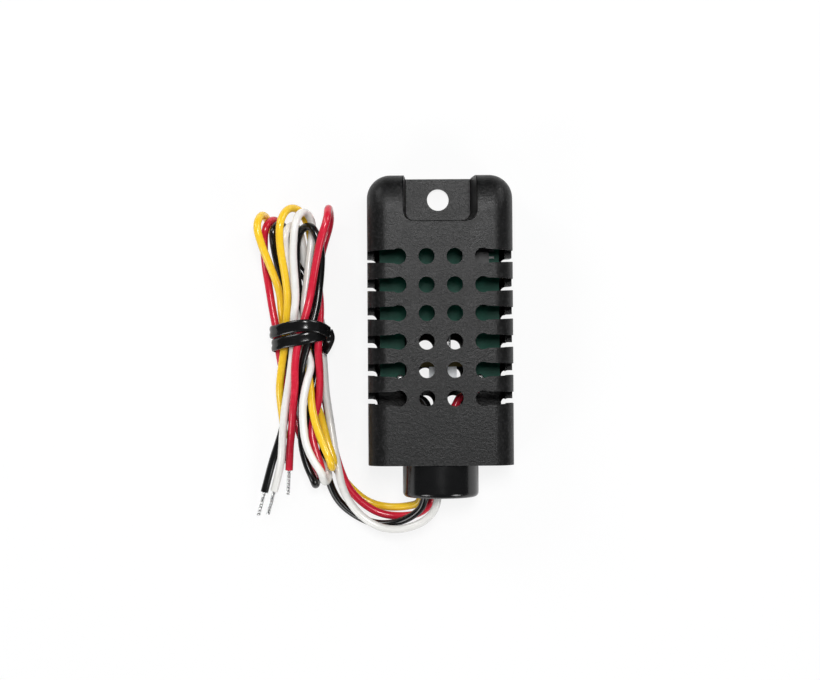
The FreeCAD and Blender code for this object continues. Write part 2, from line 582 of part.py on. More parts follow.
# The leads. Each route runs from the grommet to the end of the insulation, in millimetres from
# the tie around the hank and the floor. UP and DOWN are folds between the corners beside them
UP, DOWN = 1, -1
ROUTES = {
    "yellow": [
        (22.1, -27.3, 6.2), (22.1, -31.0, 5.6), (19.2, -32.4, 3.6), (15.6, -32.8, 1.6),
        (12.0, -31.6, 0.8), (9.0, -28.8, 0.75),
        (6.6, -25.4, 0.75), (4.4, -21.8, 0.75), (2.2, -18.2, 0.75), (0.2, -14.4, 0.75),
        (-1.6, -10.4, 0.75), (-2.9, -6.2, 0.9),
        (-3.0, -2.2, 1.4), (-3.0, 1.8, 1.5), (-3.0, 5.0, 2.6), (-3.7, 8.0, 4.4),
        (-4.9, 10.8, 6.0), (-6.2, 13.8, 7.1),
        (-7.5, 17.0, 7.8), (-8.4, 20.4, 8.2), UP, (-5.4, 20.0, 1.2), (-4.7, 16.8, 1.0),
        (-3.7, 13.2, 1.3), (-2.5, 9.6, 1.6),
        (-1.9, 6.0, 1.5), (-1.45, 2.0, 1.45), (-1.3, -2.2, 1.45), (-0.6, -6.2, 1.5),
        (0.5, -9.8, 1.9), (2.0, -13.3, 2.8),
        (3.4, -16.8, 4.0), (4.5, -19.9, 4.4), (5.8, -22.9, 4.1), DOWN, (5.0, -22.9, 8.9),
        (3.7, -20.0, 8.4),
        (2.4, -16.6, 7.4), (1.6, -13.0, 6.3), (1.6, -9.2, 5.1), (1.4, -5.6, 3.8),
        (1.05, -2.2, 2.8), (1.05, 2.0, 2.75),
        (1.8, 6.0, 2.0), (1.6, 9.8, 1.2), (1.5, 13.4, 0.8), (1.4, 17.0, 0.8), (0.9, 21.0, 1.4),
        UP, (-4.0, 21.4, 8.8),
        (-4.15, 18.0, 8.5), (-3.75, 14.6, 7.7), (-3.15, 11.2, 6.7), (-2.6, 7.8, 5.7),
        (-2.5, 4.8, 4.9), (-2.9, 1.4, 4.2),
        (-3.1, -2.2, 4.1), (-3.2, -6.0, 4.0), (-3.3, -9.8, 3.4), (-3.4, -13.2, 2.3),
        (-3.55, -16.4, 1.1), (-3.75, -19.2, 0.85),
    ],
    "red": [
        (24.0, -27.3, 6.0), (24.0, -31.0, 5.4), (21.4, -33.2, 3.8), (17.6, -33.6, 2.8),
        (14.0, -33.2, 2.4), (10.7, -31.2, 2.3),
        (8.1, -28.5, 2.3), (6.5, -25.2, 2.3), (5.4, -21.6, 2.1), (4.4, -18.0, 1.2),
        (3.7, -14.4, 0.8), (2.9, -10.6, 0.75),
        (2.1, -6.4, 1.0), (1.6, -2.2, 1.4), (1.4, 2.0, 1.3), (0.1, 5.8, 0.85), (-1.4, 9.4, 0.8),
        (-2.7, 13.0, 0.8), (-3.4, 16.4, 0.8),
        (-3.9, 19.8, 1.0), UP, (-6.6, 19.8, 6.6), (-7.0, 16.2, 4.8), (-6.6, 12.8, 3.3),
        (-5.6, 9.4, 2.6),
        (-4.2, 6.0, 2.5), (-3.6, 2.0, 2.75), (-3.7, -2.2, 2.75), (-3.1, -6.0, 2.4),
        (-2.8, -9.6, 2.3), (-2.0, -13.2, 2.5),
        (-1.0, -16.8, 2.6), (0.2, -20.0, 2.6), (1.8, -23.1, 2.4), (3.6, -25.0, 2.2),
        DOWN, (3.5, -24.6, 5.8),
        (2.4, -21.8, 5.4), (1.5, -18.8, 4.8), (1.5, -15.6, 4.2), (2.4, -12.4, 4.2),
        (2.65, -9.2, 4.3), (2.4, -5.6, 4.5),
        (2.2, -2.2, 4.8), (2.3, 1.6, 4.5), (2.1, 5.6, 3.4), (2.2, 9.6, 2.6), (2.7, 13.2, 1.9),
        (3.7, 16.8, 1.2), (5.2, 21.2, 1.0), UP,
        (4.7, 21.4, 9.2), (3.5, 18.0, 8.8), (2.8, 14.6, 7.9), (2.15, 11.2, 6.9),
        (1.65, 7.8, 6.1), (1.0, 4.6, 5.7),
        (0.1, 1.4, 5.5), (-0.5, -2.2, 5.5), (-1.0, -5.8, 5.2), (-1.5, -9.6, 4.8),
        (-1.95, -13.4, 4.4), (-2.3, -17.0, 3.4),
        (-2.5, -20.2, 1.9), (-2.7, -22.8, 1.2), (-2.85, -25.1, 1.25),
    ],
    "white": [
        (24.9, -27.3, 8.3), (25.0, -31.2, 7.8), (22.8, -34.2, 6.4), (19.2, -35.6, 5.0),
        (15.0, -35.8, 4.2), (11.3, -34.1, 3.9),
        (8.6, -31.4, 3.9), (6.8, -28.0, 3.8), (5.95, -24.4, 3.5), (5.3, -20.8, 2.9),
        (4.7, -17.2, 2.4), (4.0, -13.6, 2.3),
        (3.4, -10.0, 2.3), (2.9, -6.2, 2.5), (2.6, -2.2, 2.6), (2.6, 2.0, 2.6), (1.8, 5.4, 1.4),
        (0.8, 8.8, 1.3), (0.4, 12.2, 1.4),
        (0.2, 15.6, 1.8), (-0.3, 19.0, 1.6), UP, (-3.3, 19.0, 6.2), (-3.1, 15.4, 5.2),
        (-2.6, 12.0, 4.4),
        (-2.0, 8.6, 3.3), (-1.3, 5.4, 3.0), (-0.65, 2.0, 2.8), (-0.7, -2.2, 2.75),
        (-1.1, -6.0, 2.9), (-1.0, -9.8, 2.8),
        (-0.4, -13.6, 2.8), (0.4, -17.2, 3.2), (1.4, -20.4, 3.5), (2.5, -23.2, 3.6),
        (3.8, -25.6, 3.4), DOWN,
        (3.4, -25.2, 8.2), (1.8, -23.0, 7.8), (0.4, -19.8, 7.3), (0.0, -16.2, 6.6),
        (0.1, -12.6, 5.8), (0.6, -9.0, 4.9),
        (0.9, -5.6, 4.0), (0.2, -2.2, 4.1), (0.2, 2.0, 4.0), (0.6, 6.0, 3.3), (0.8, 9.6, 3.2),
        (1.1, 13.2, 3.2), (1.5, 16.8, 3.2),
        (2.0, 20.8, 2.8), UP, (-1.2, 21.0, 9.2), (-1.6, 17.2, 8.8), (-1.65, 13.8, 7.8),
        (-1.45, 10.4, 6.8),
        (-1.2, 7.0, 5.8), (-1.0, 4.2, 4.9), (-1.4, 1.4, 4.3), (-1.7, -2.2, 4.2),
        (-2.1, -5.8, 4.8), (-2.4, -9.4, 5.1),
        (-2.75, -13.0, 5.0), (-3.2, -16.6, 4.4), (-3.75, -20.0, 3.4), (-4.4, -23.2, 2.2),
        (-5.1, -26.2, 1.2), (-5.75, -29.0, 1.05),
    ],
    "black": [
        (22.7, -27.3, 8.5), (22.6, -31.0, 7.6), (20.2, -33.6, 5.6), (16.6, -34.8, 3.4),
        (12.8, -34.9, 1.6), (9.2, -33.4, 0.8),
        (6.4, -31.2, 0.75), (4.7, -28.2, 0.8), (3.8, -24.9, 1.4), (3.3, -21.4, 2.1),
        (2.9, -17.8, 2.1), (2.2, -14.0, 1.4),
        (1.5, -10.4, 0.9), (0.7, -6.8, 1.1), (0.1, -3.0, 1.4), (0.1, 0.8, 1.4), (0.3, 4.2, 2.4),
        (0.0, 7.6, 3.2), (-0.7, 11.2, 3.8), (-1.1, 14.8, 3.6),
        (-1.0, 18.4, 3.2), UP, (2.5, 19.4, 6.6), (3.6, 15.8, 6.2), (3.45, 12.4, 5.6),
        (3.1, 9.0, 5.2), (2.65, 5.4, 5.0),
        (1.7, 1.8, 5.4), (1.0, -1.8, 5.5), (0.4, -5.2, 5.0), (0.0, -8.8, 4.4),
        (-0.3, -12.4, 4.2), (-0.5, -16.2, 4.4),
        (-0.4, -20.0, 4.8), (0.5, -23.7, 5.2), (2.0, -26.8, 5.6), DOWN, (2.6, -26.2, 1.9),
        (1.6, -22.6, 1.9),
        (1.1, -18.8, 1.9), (0.9, -15.0, 2.8), (1.3, -11.2, 3.5), (1.6, -7.4, 3.5),
        (1.7, -3.6, 3.8), (1.7, 0.2, 4.1),
        (1.4, 4.0, 3.8), (0.8, 7.4, 2.8), (0.0, 10.4, 2.2), (-1.4, 13.4, 2.2), (-2.6, 16.6, 2.2),
        (-3.1, 19.4, 2.0), UP,
        (-5.9, 19.4, 6.6), (-5.2, 15.8, 5.4), (-4.4, 12.4, 4.2), (-3.7, 9.2, 3.2),
        (-3.0, 5.8, 2.6),
        (-2.2, 2.0, 2.75), (-2.2, -2.2, 2.75), (-2.4, -5.8, 2.8), (-3.2, -9.6, 2.8),
        (-3.4, -13.2, 2.6), (-3.85, -16.8, 2.4),
        (-4.65, -20.2, 2.3), (-5.7, -23.5, 1.8), (-6.6, -26.5, 1.3), (-7.5, -29.2, 1.15),
    ],
}
SHARES = 4
LINE_WEIGHTS = [
    ((1 - k / SHARES) ** 2 / 2, 0.5 + k / SHARES * (1 - k / SHARES), (k / SHARES) ** 2 / 2)
    for k in range(SHARES)
]
SETTLE_STEPS = 260
PUSH = 1.6
HELD_HEIGHT = 4.0
HOLD_HIGH, HOLD_LOW, HOLD_RISE = 0.06, 0.015, 0.3
STIFFNESS = 0.02
SETTLE_GAP = 0.32
SETTLE_GAP_SELF = 0.66
TIE_REACH = 2.4
CORNER_SHARE = 0.45
GAP_STEP = 0.5
SELF_BESIDE = 8


def with_folds(route):
    """A route's points, with two more across each fold, where an octagon round it has them."""
    points = []
    eighth = math.tan(math.pi / 8)
    for index, entry in enumerate(route):
        if entry not in (UP, DOWN):
            points.append(Vector(*entry))
            continue
        start, end = Vector(*route[index - 1]), Vector(*route[index + 1])
        middle, radius = (start + end) / 2, start.distanceToPoint(end) / 2
        beyond = middle + Vector(0, entry * radius * (1 - eighth), 0)
        points.append(beyond + (start - middle) * eighth)
        points.append(beyond + (end - middle) * eighth)
    return points


def read_line(routes):
    """Places on the smooth lines through the middles of the runs, in order along each route."""
    line = []
    for points in routes:
        for before, here, after in zip(points, points[1:], points[2:]):
            for a, b, c in LINE_WEIGHTS:
                line.append(before * a + here * b + after * c)
    return line


def close_pairs(line, owners, reach):
    """Pairs of places nearer than reach that aren't beside each other on one route."""
    cells = {}
    for number, place in enumerate(line):
        cell = tuple(math.floor(value / reach) for value in place)
        cells.setdefault(cell, []).append(number)
    pairs = []
    around = [(x, y, z) for x in (-1, 0, 1) for y in (-1, 0, 1) for z in (-1, 0, 1)]
    for cell, numbers in cells.items():
        for step in around:
            for other in cells.get(tuple(a + b for a, b in zip(cell, step)), ()):
                for number in numbers:
                    if number < other and (
                            owners[number] != owners[other] or other - number > 3 * SHARES):
                        pairs.append((number, other))
    return pairs


def settled(routes, apart, apart_self, floor, tie_room):
    """The routes after their leads have pushed each other a diameter apart and off the floor."""
    def least_height(y):
        return floor + (tie_room if abs(y) < TIE_REACH else 0)

    starts = [with_folds(route) for route in routes]
    routes = [list(points) for points in starts]
    owners = [k for k, points in enumerate(starts) for _ in range((len(points) - 2) * SHARES)]
    for step in range(SETTLE_STEPS):
        line = read_line(routes)
        if step % 10 == 0:
            pairs = close_pairs(line, owners, apart_self + 1)
        push = {}
        for first, second in pairs:
            between = line[first] - line[second]
            distance = between.Length
            limit = apart_self if owners[first] == owners[second] else apart
            if distance < limit:
                share = between * ((limit - distance) / distance)
                for end, sign in ((first, 1), (second, -1)):
                    total, count = push.get(end, (Vector(), 0))
                    push[end] = (total + share * sign, count + 1)
        number = 0
        for k, points in enumerate(routes):
            moves = [Vector() for _ in points]
            for index in range(1, len(points) - 1):
                for a, b, c in LINE_WEIGHTS:
                    total, count = push.get(number, (Vector(), 1))
                    total = total * (PUSH / count)
                    total.z += 2 * max(least_height(line[number].y) - line[number].z, 0)
                    for shift, weight in ((-1, a), (0, b), (1, c)):
                        moves[index + shift] += total * (weight / SHARES)
                    number += 1
            moved = points[:2]
            for index in range(2, len(points)):
                now, start = points[index], starts[k][index]
                pull = (start - now) * (HOLD_HIGH if start.z > HELD_HEIGHT else HOLD_LOW)
                pull.z *= HOLD_RISE
                if index < len(points) - 1:
                    bend = points[index - 1] + points[index + 1] - now * 2
                    first_bend = starts[k][index - 1] + starts[k][index + 1] - start * 2
                    pull += (bend - first_bend) * STIFFNESS
                place = now + moves[index] + pull
                place.z = max(place.z, least_height(place.y))
                moved.append(place)
            routes[k] = moved
    return routes


def corner_arc(before, corner, after):
    """Start, middle and end of the tangent arc at a corner of a route, and its radius."""
    back, on = before - corner, after - corner
    reach = CORNER_SHARE * min(back.Length, on.Length)
    back.normalize()
    on.normalize()
    half_turn = (math.pi - back.getAngle(on)) / 2
    radius = reach / math.tan(half_turn)
    inward = (back + on).normalize()
    middle = corner + inward * (radius / math.cos(half_turn) - radius)
    return corner + back * reach, middle, corner + on * reach, radius


def tube(name, points, diameter):
    """A round tube along straight runs joined by tangent arcs; returns the object and its radii."""
    edges, radii, here = [], [], points[0]
    for before, corner, after in zip(points, points[1:], points[2:]):
        start, middle, end, radius = corner_arc(before, corner, after)
        edges.append(Part.LineSegment(here, start).toShape())
        edges.append(Part.Arc(start, middle, end).toShape())
        radii.append(radius)
        here = end
    edges.append(Part.LineSegment(here, points[-1]).toShape())
    wire = Part.Wire(edges)
    profile = Part.Wire([Part.makeCircle(diameter / 2, points[0], points[1] - points[0])])
    solid = wire.makePipeShell([profile], True, False)
    expected = math.pi * diameter ** 2 / 4 * wire.Length
    if abs(solid.Volume / expected - 1) > 0.01:
        raise RuntimeError(f"{name} has a volume of {solid.Volume}, not {expected}")
    piece = doc.addObject("Part::Feature", name)
    piece.Shape = solid
    return piece, radii, wire


def least_gap(wires, diameter, beside):
    """Least gap of leads to each other, or of one to itself beyond a stretch of its length."""
    line, owners = [], []
    for k, wire in enumerate(wires):
        places = wire.discretize(int(wire.Length / GAP_STEP))
        line.extend(places)
        owners.extend([k] * len(places))
    skip = beside / GAP_STEP
    gaps = [
        line[first].distanceToPoint(line[second]) - diameter
        for first, second in close_pairs(line, owners, 2 * diameter)
        if (len(wires) == 1 and second - first > skip)
        or (len(wires) > 1 and owners[first] != owners[second])
    ]
    return min(gaps)


def leads():
    """Free stretches, hanks and stripped tips of the four leads, from the grommet on."""
    diameter = size("Sizes.lead_diameter")
    origin = Vector(size("Sizes.hank_x"), size("Sizes.hank_y"), 0)
    routes = []
    for name in LEADS:
        x, z = size(f"Sizes.{name}_exit_x"), size(f"Sizes.{name}_exit_z")
        start = (x - origin.x, size(NECK_END) - origin.y, z)
        routes.append([start] + ROUTES[name][1:])
    routes = settled(routes, diameter + SETTLE_GAP, diameter + SETTLE_GAP_SELF,
                     diameter / 2 + size("Sizes.floor_gap"),
                     size("Sizes.tie_thickness") + 2 * size("Sizes.fit_clearance"))
    pieces, wires, at_tie = {}, [], []
    for name, route in zip(LEADS, routes):
        points = [place + origin for place in route]
        free_points = round(size("Sizes.free_points"))
        middle = (points[free_points - 1] + points[free_points]) / 2
        free, _, free_wire = tube(f"lead_{name}", points[:free_points] + [middle], diameter)
        hank, radii, hank_wire = tube(f"lead_{name}_hank", [middle] + points[free_points:], diameter)
        last = (points[-1] - points[-2]).normalize()
        length = size("Sizes.tip_length")
        tip = doc.addObject("Part::Feature", f"lead_{name}_tip")
        tip.Shape = Part.makeCylinder(size("Sizes.conductor_diameter") / 2, length, points[-1], last)
        pieces.update({free.Name: free, hank.Name: hank, tip.Name: tip})
        wires.append(Part.Wire(free_wire.Edges + hank_wire.Edges))
        print(name, "length", round(free_wire.Length + hank_wire.Length, 1),
              "tightest bends", sorted(round(r, 1) for r in radii)[:4],
              "gap to itself", round(least_gap([hank_wire], diameter, SELF_BESIDE), 2))
        at_tie.extend(p for p in hank_wire.discretize(int(hank_wire.Length / GAP_STEP))
                      if abs(p.y - origin.y) < size("Sizes.tie_width") + size("Sizes.fit_clearance"))
    print("gap between leads", round(least_gap(wires, diameter, 0), 3))
    pieces["twist_tie"] = twist_tie(at_tie, diameter)
    return pieces


def rounded_prism(corner, width, height, radius, depth):
    """A prism along Y whose outline in X and Z has round corners."""
    block = Part.makeBox(width, depth, height, corner)
    return block.makeFillet(radius, [e for e in block.Edges if abs(e.tangentAt(0).y) > 0.9])


def twist_tie(strands, diameter):
    """Two wraps of a flat tie round the bundle, with its ends turned out."""
    gap = size("Sizes.fit_clearance")
    width, thickness = size("Sizes.tie_width"), size("Sizes.tie_thickness")
    reach = diameter / 2 + gap
    low_x, high_x = min(p.x for p in strands) - reach, max(p.x for p in strands) + reach
    low_z, high_z = min(p.z for p in strands) - reach, max(p.z for p in strands) + reach
    middle_y = size("Sizes.hank_y")
    turns = []
    for low_y in (middle_y - width - gap / 2, middle_y + gap / 2):
        outer = rounded_prism(
            Vector(low_x - thickness, low_y, low_z - thickness), high_x - low_x + 2 * thickness,
            high_z - low_z + 2 * thickness, diameter / 2 + thickness, width)
        inner = rounded_prism(Vector(low_x, low_y - gap, low_z), high_x - low_x, high_z - low_z,
                              diameter / 2, width + 2 * gap)
        turns.append(outer.cut(inner))
    tail = Part.makeBox(
        width, size("Sizes.tie_tail"), 2 * thickness,
        Vector(high_x, middle_y + width - size("Sizes.tie_tail"), (low_z + high_z) / 2))
    bridge = Part.makeBox(width, 2 * width, thickness,
                          Vector(low_x + diameter, middle_y - width, low_z - thickness))
    piece = doc.addObject("Part::Feature", "twist_tie")
    piece.Shape = turns[0].fuse([turns[1], tail, bridge]).removeSplitter()
    return piece


def block_on_board(name, x, from_top, width, length, height, lift="0"):
    """A block centred at x and a distance from the board's top edge."""
    return box(name, x, f"{BOARD_HIGH_Y} - {from_top} - ({length}) / 2",
               f"{BOARD_TOP} + {lift}", width, length, height)


def components():
    """What the board carries: a controller with its pins, and small two-ended parts."""
    chip = block_on_board("controller_chip", CHIP_X, "Sizes.chip_from_top",
                          "Sizes.chip_width", "Sizes.chip_length", "Sizes.chip_height",
                          "Sizes.chip_lift")
    pins = []
    for side in SIDES:
        for number in range(round(size("Sizes.chip_pins"))):
            along = f"({number} - (Sizes.chip_pins - 1) / 2) * Sizes.pin_pitch"
            inner = f"{CHIP_X} + {side} * Sizes.chip_width / 2"
            foot = "Sizes.pin_foot"
            pins.append(block_on_board(
                f"foot_{number}_{side + 1}", f"{inner} + {side} * (Sizes.chip_leg + {foot}) / 2",
                f"Sizes.chip_from_top + {along}", f"{foot} + Sizes.chip_leg", "Sizes.pin_width",
                "Sizes.pin_thickness"))
            pins.append(block_on_board(
                f"leg_{number}_{side + 1}", f"{inner} + {side} * Sizes.chip_leg / 2",
                f"Sizes.chip_from_top + {along}", "Sizes.chip_leg", "Sizes.pin_width",
                "Sizes.chip_lift + Sizes.chip_height / 2"))
    resistors, capacitors = [], []
    for number, (column, row, turned_part) in enumerate(SMALL_PARTS):
        x = f"({column} * Sizes.vent_column_pitch)"
        from_top = f"({BOARD_HIGH_Y} - {row_y(row)})"
        width, length = "Sizes.part_length", "Sizes.part_width"
        if turned_part:
            width, length = length, width
        group = resistors if number % 2 else capacitors
        height = "Sizes.part_height" if number % 2 else "2 * Sizes.part_height"
        group.append(block_on_board(f"small_part_{number}", x, from_top, width, length, height))
    return {
        "controller_chip": chip,
        "chip_pins": joined("chip_pins", *pins),
        "capacitors": joined("capacitors", *capacitors),
        "resistors": joined("resistors", *resistors),
    }


# Small parts sit between the rows of vents: distance from the middle in column pitches, from the
# first row in row pitches, and whether the part lies along Y
SMALL_PARTS = [
    (-1.5, 0.5, False), (-0.95, 0.5, False), (-0.45, 0.5, True), (0.4, 0.5, True),
    (-1.55, 1.5, False), (-0.5, 1.5, False), (0.5, 1.5, False), (1.05, 1.5, True),
    (1.6, 1.5, False), (-1.0, 2.5, False), (1.0, 2.5, False), (-0.5, -0.6, False),
    (-1.0, -0.6, False),
]


def bent_wires(name, routes, diameter):
    """Round wires along routes of expressions, as one piece."""
    wires = []
    for number, route in enumerate(routes):
        points = [Vector(*(size(value) for value in place)) for place in route]
        wires.append(tube(f"{name}_{number}", points, size(diameter))[0])
    if len(wires) == 1:
        wires[0].Label = name
        return wires[0]
    return joined(name, *wires)


def sensing_parts():
    """The humidity element on its carrier and the temperature bead, on wires from the notch."""
    element_low = f"({BOARD_TOP} - Sizes.element_thickness)"
    element = box("humidity_element", "Sizes.element_x",
                  "Sizes.element_y - Sizes.element_length / 2", element_low,
                  "Sizes.element_width", "Sizes.element_length", "Sizes.element_thickness")
    carrier_low = "(Sizes.element_y + Sizes.element_length / 2)"
    carrier = box("element_carrier", "Sizes.element_x", carrier_low, element_low,
                  "Sizes.carrier_width", "Sizes.carrier_length", "Sizes.element_thickness")
    middle = f"({element_low} + Sizes.element_thickness / 2)"
    carrier_high = f"({carrier_low} + Sizes.carrier_length)"
    legs = [
        [(f"Sizes.element_x + {side} * Sizes.leg_spread", carrier_high, middle),
         (f"Sizes.element_x + {side} * Sizes.leg_spread", NOTCH_Y, middle)]
        for side in SIDES
    ]
    bead_y = f"({NOTCH_Y} - Sizes.bead_reach)"
    bead = primitive("Sphere", "temperature_bead", Radius="Sizes.bead_diameter / 2",
                     x="-Sizes.bead_x", y=bead_y, z=middle)
    for side in SIDES:
        x = f"(-Sizes.bead_x + {side} * Sizes.bead_diameter / 4)"
        legs.append([(x, bead_y, middle), (x, NOTCH_Y, middle)])
    bars = []
    for number, (start, end) in enumerate(legs):
        bars.append(rod_along_y(f"sensor_leg_{number}", start[0], end[1], start[2],
                                "Sizes.sensor_leg", f"{end[1]} - {start[1]}"))
    return {
        "humidity_element": element,
        "element_carrier": carrier,
        "temperature_bead": bead,
        "sensor_legs": cut("sensor_legs", joined("leg_bars", *bars), bead),
    }


# Inner leads by side of the board: places between the grommet and the end of the insulation
INNER = {
    "black": [("-2.3", "-15.4", "7.6"), ("-2.3", "-12.2", "6.2"), ("-5.0", "-10.9", "4.2"),
              ("-6.9", "-9.9", "3.6")],
    "red": [("0.9", "-15.6", "5.2"), ("2.7", "-13.2", "5.2"), ("3.7", "-11.2", "4.8"),
            ("5.6", "-10.6", "4.2"), ("7.0", "-9.9", "3.6")],
    "white": [("0.2", "-15.4", "7.4"), ("0.4", "-11.6", "4.8"), ("0.4", "-7.0", "3.8"),
              ("0.4", "-2.6", "3.8"), ("0.4", "-0.6", "3.9")],
    "yellow": [("-1.7", "-15.6", "4.2"), ("0.1", "-11.8", "2.4"), ("0.4", "-7.4", "2.05"),
               ("0.4", "-2.6", "2.05"), ("0.4", "-0.6", "2.1")],
}
INNER_STRAIGHT_Y = "-19.4"


def inner_leads():
    """The leads from the grommet's outer face to under the board, and their bare strands."""
    pieces, strands = {}, []
    for name in LEADS:
        x, z = f"Sizes.{name}_exit_x", f"Sizes.{name}_exit_z"
        route = [(x, NECK_END, z), (x, INNER_STRAIGHT_Y, z)] + INNER[name]
        pieces[f"lead_{name}_inner"] = bent_wires(f"lead_{name}_inner", [route],
                                                  "Sizes.lead_diameter")
        joint_x, joint_y = joint_place(name)
        end = [size(value) for value in INNER[name][-1]]
        before = [size(value) for value in INNER[name][-2]]
        rise = (end[2] - before[2]) / (end[1] - before[1])
        low = f"{end[2]} + {rise} * ({joint_y} - ({end[1]}))"
        strands.append([INNER[name][-1], (joint_x, joint_y, low),
                        (joint_x, joint_y, f"{BOARD_TOP} + Sizes.solder_height")])
    pieces["inner_conductors"] = bent_wires("inner_conductors", strands,
                                            "Sizes.conductor_diameter")
    return pieces


def finish(shapes):
    doc.recompute()
    for thing in doc.Objects:
        bad = [word for word in thing.State if word in ("Invalid", "Error")]
        if bad:
            raise RuntimeError(f"{thing.Name} is {bad}")
    os.makedirs("parts", exist_ok=True)
    for name, thing in shapes.items():
        thing.Label = name
        shape = thing.Shape
        if shape.isNull() or not shape.isValid():
            raise RuntimeError(f"{name} has no valid shape")
        shape.exportStep(f"parts/{name}.step")
        print(name, len(shape.Solids), round(shape.Volume, 2))


finish({
    "front_cover": front_cover(),
    "back_cover": back_cover(),
    "cable_collar": cable_collar(),
    "cable_grommet": cable_grommet(),
    "circuit_board": circuit_board(),
    "solder_joints": solder_joints(),
    **components(),
    **sensing_parts(),
    **inner_leads(),
    **leads(),
})
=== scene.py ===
import math

import bmesh
import bpy
import numpy as np
from mathutils import Matrix, Vector


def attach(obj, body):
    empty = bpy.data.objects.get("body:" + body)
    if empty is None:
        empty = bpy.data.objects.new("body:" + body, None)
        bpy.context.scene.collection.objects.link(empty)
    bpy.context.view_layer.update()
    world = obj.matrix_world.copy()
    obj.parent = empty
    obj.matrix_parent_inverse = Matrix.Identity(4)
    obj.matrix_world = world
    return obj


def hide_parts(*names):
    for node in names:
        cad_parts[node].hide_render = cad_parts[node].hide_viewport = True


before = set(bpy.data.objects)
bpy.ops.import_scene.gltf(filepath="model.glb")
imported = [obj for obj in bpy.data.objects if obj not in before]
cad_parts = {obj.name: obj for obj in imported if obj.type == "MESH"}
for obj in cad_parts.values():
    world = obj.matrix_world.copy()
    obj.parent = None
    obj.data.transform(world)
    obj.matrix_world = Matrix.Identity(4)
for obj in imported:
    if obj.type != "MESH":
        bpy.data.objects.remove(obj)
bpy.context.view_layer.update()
scene = bpy.context.scene
MM = 0.001


# Camera, straight above the group, as the photograph was taken
AIM = Vector((-13.85, -0.57, 407.5)) * MM
AIM_PIXEL = (365, 340)
IMAGE = (820, 680)
TURN = -0.0065

camera_data = bpy.data.cameras.new("camera")
camera = bpy.data.objects.new("camera", camera_data)
scene.collection.objects.link(camera)
camera.location = AIM
camera.rotation_euler = (0, 0, TURN)
camera_data.sensor_width = 36
camera_data.lens = 95
camera_data.shift_x = (IMAGE[0] / 2 - AIM_PIXEL[0]) / IMAGE[0]
camera_data.clip_start = 0.01
camera_data.clip_end = 20
scene.camera = camera


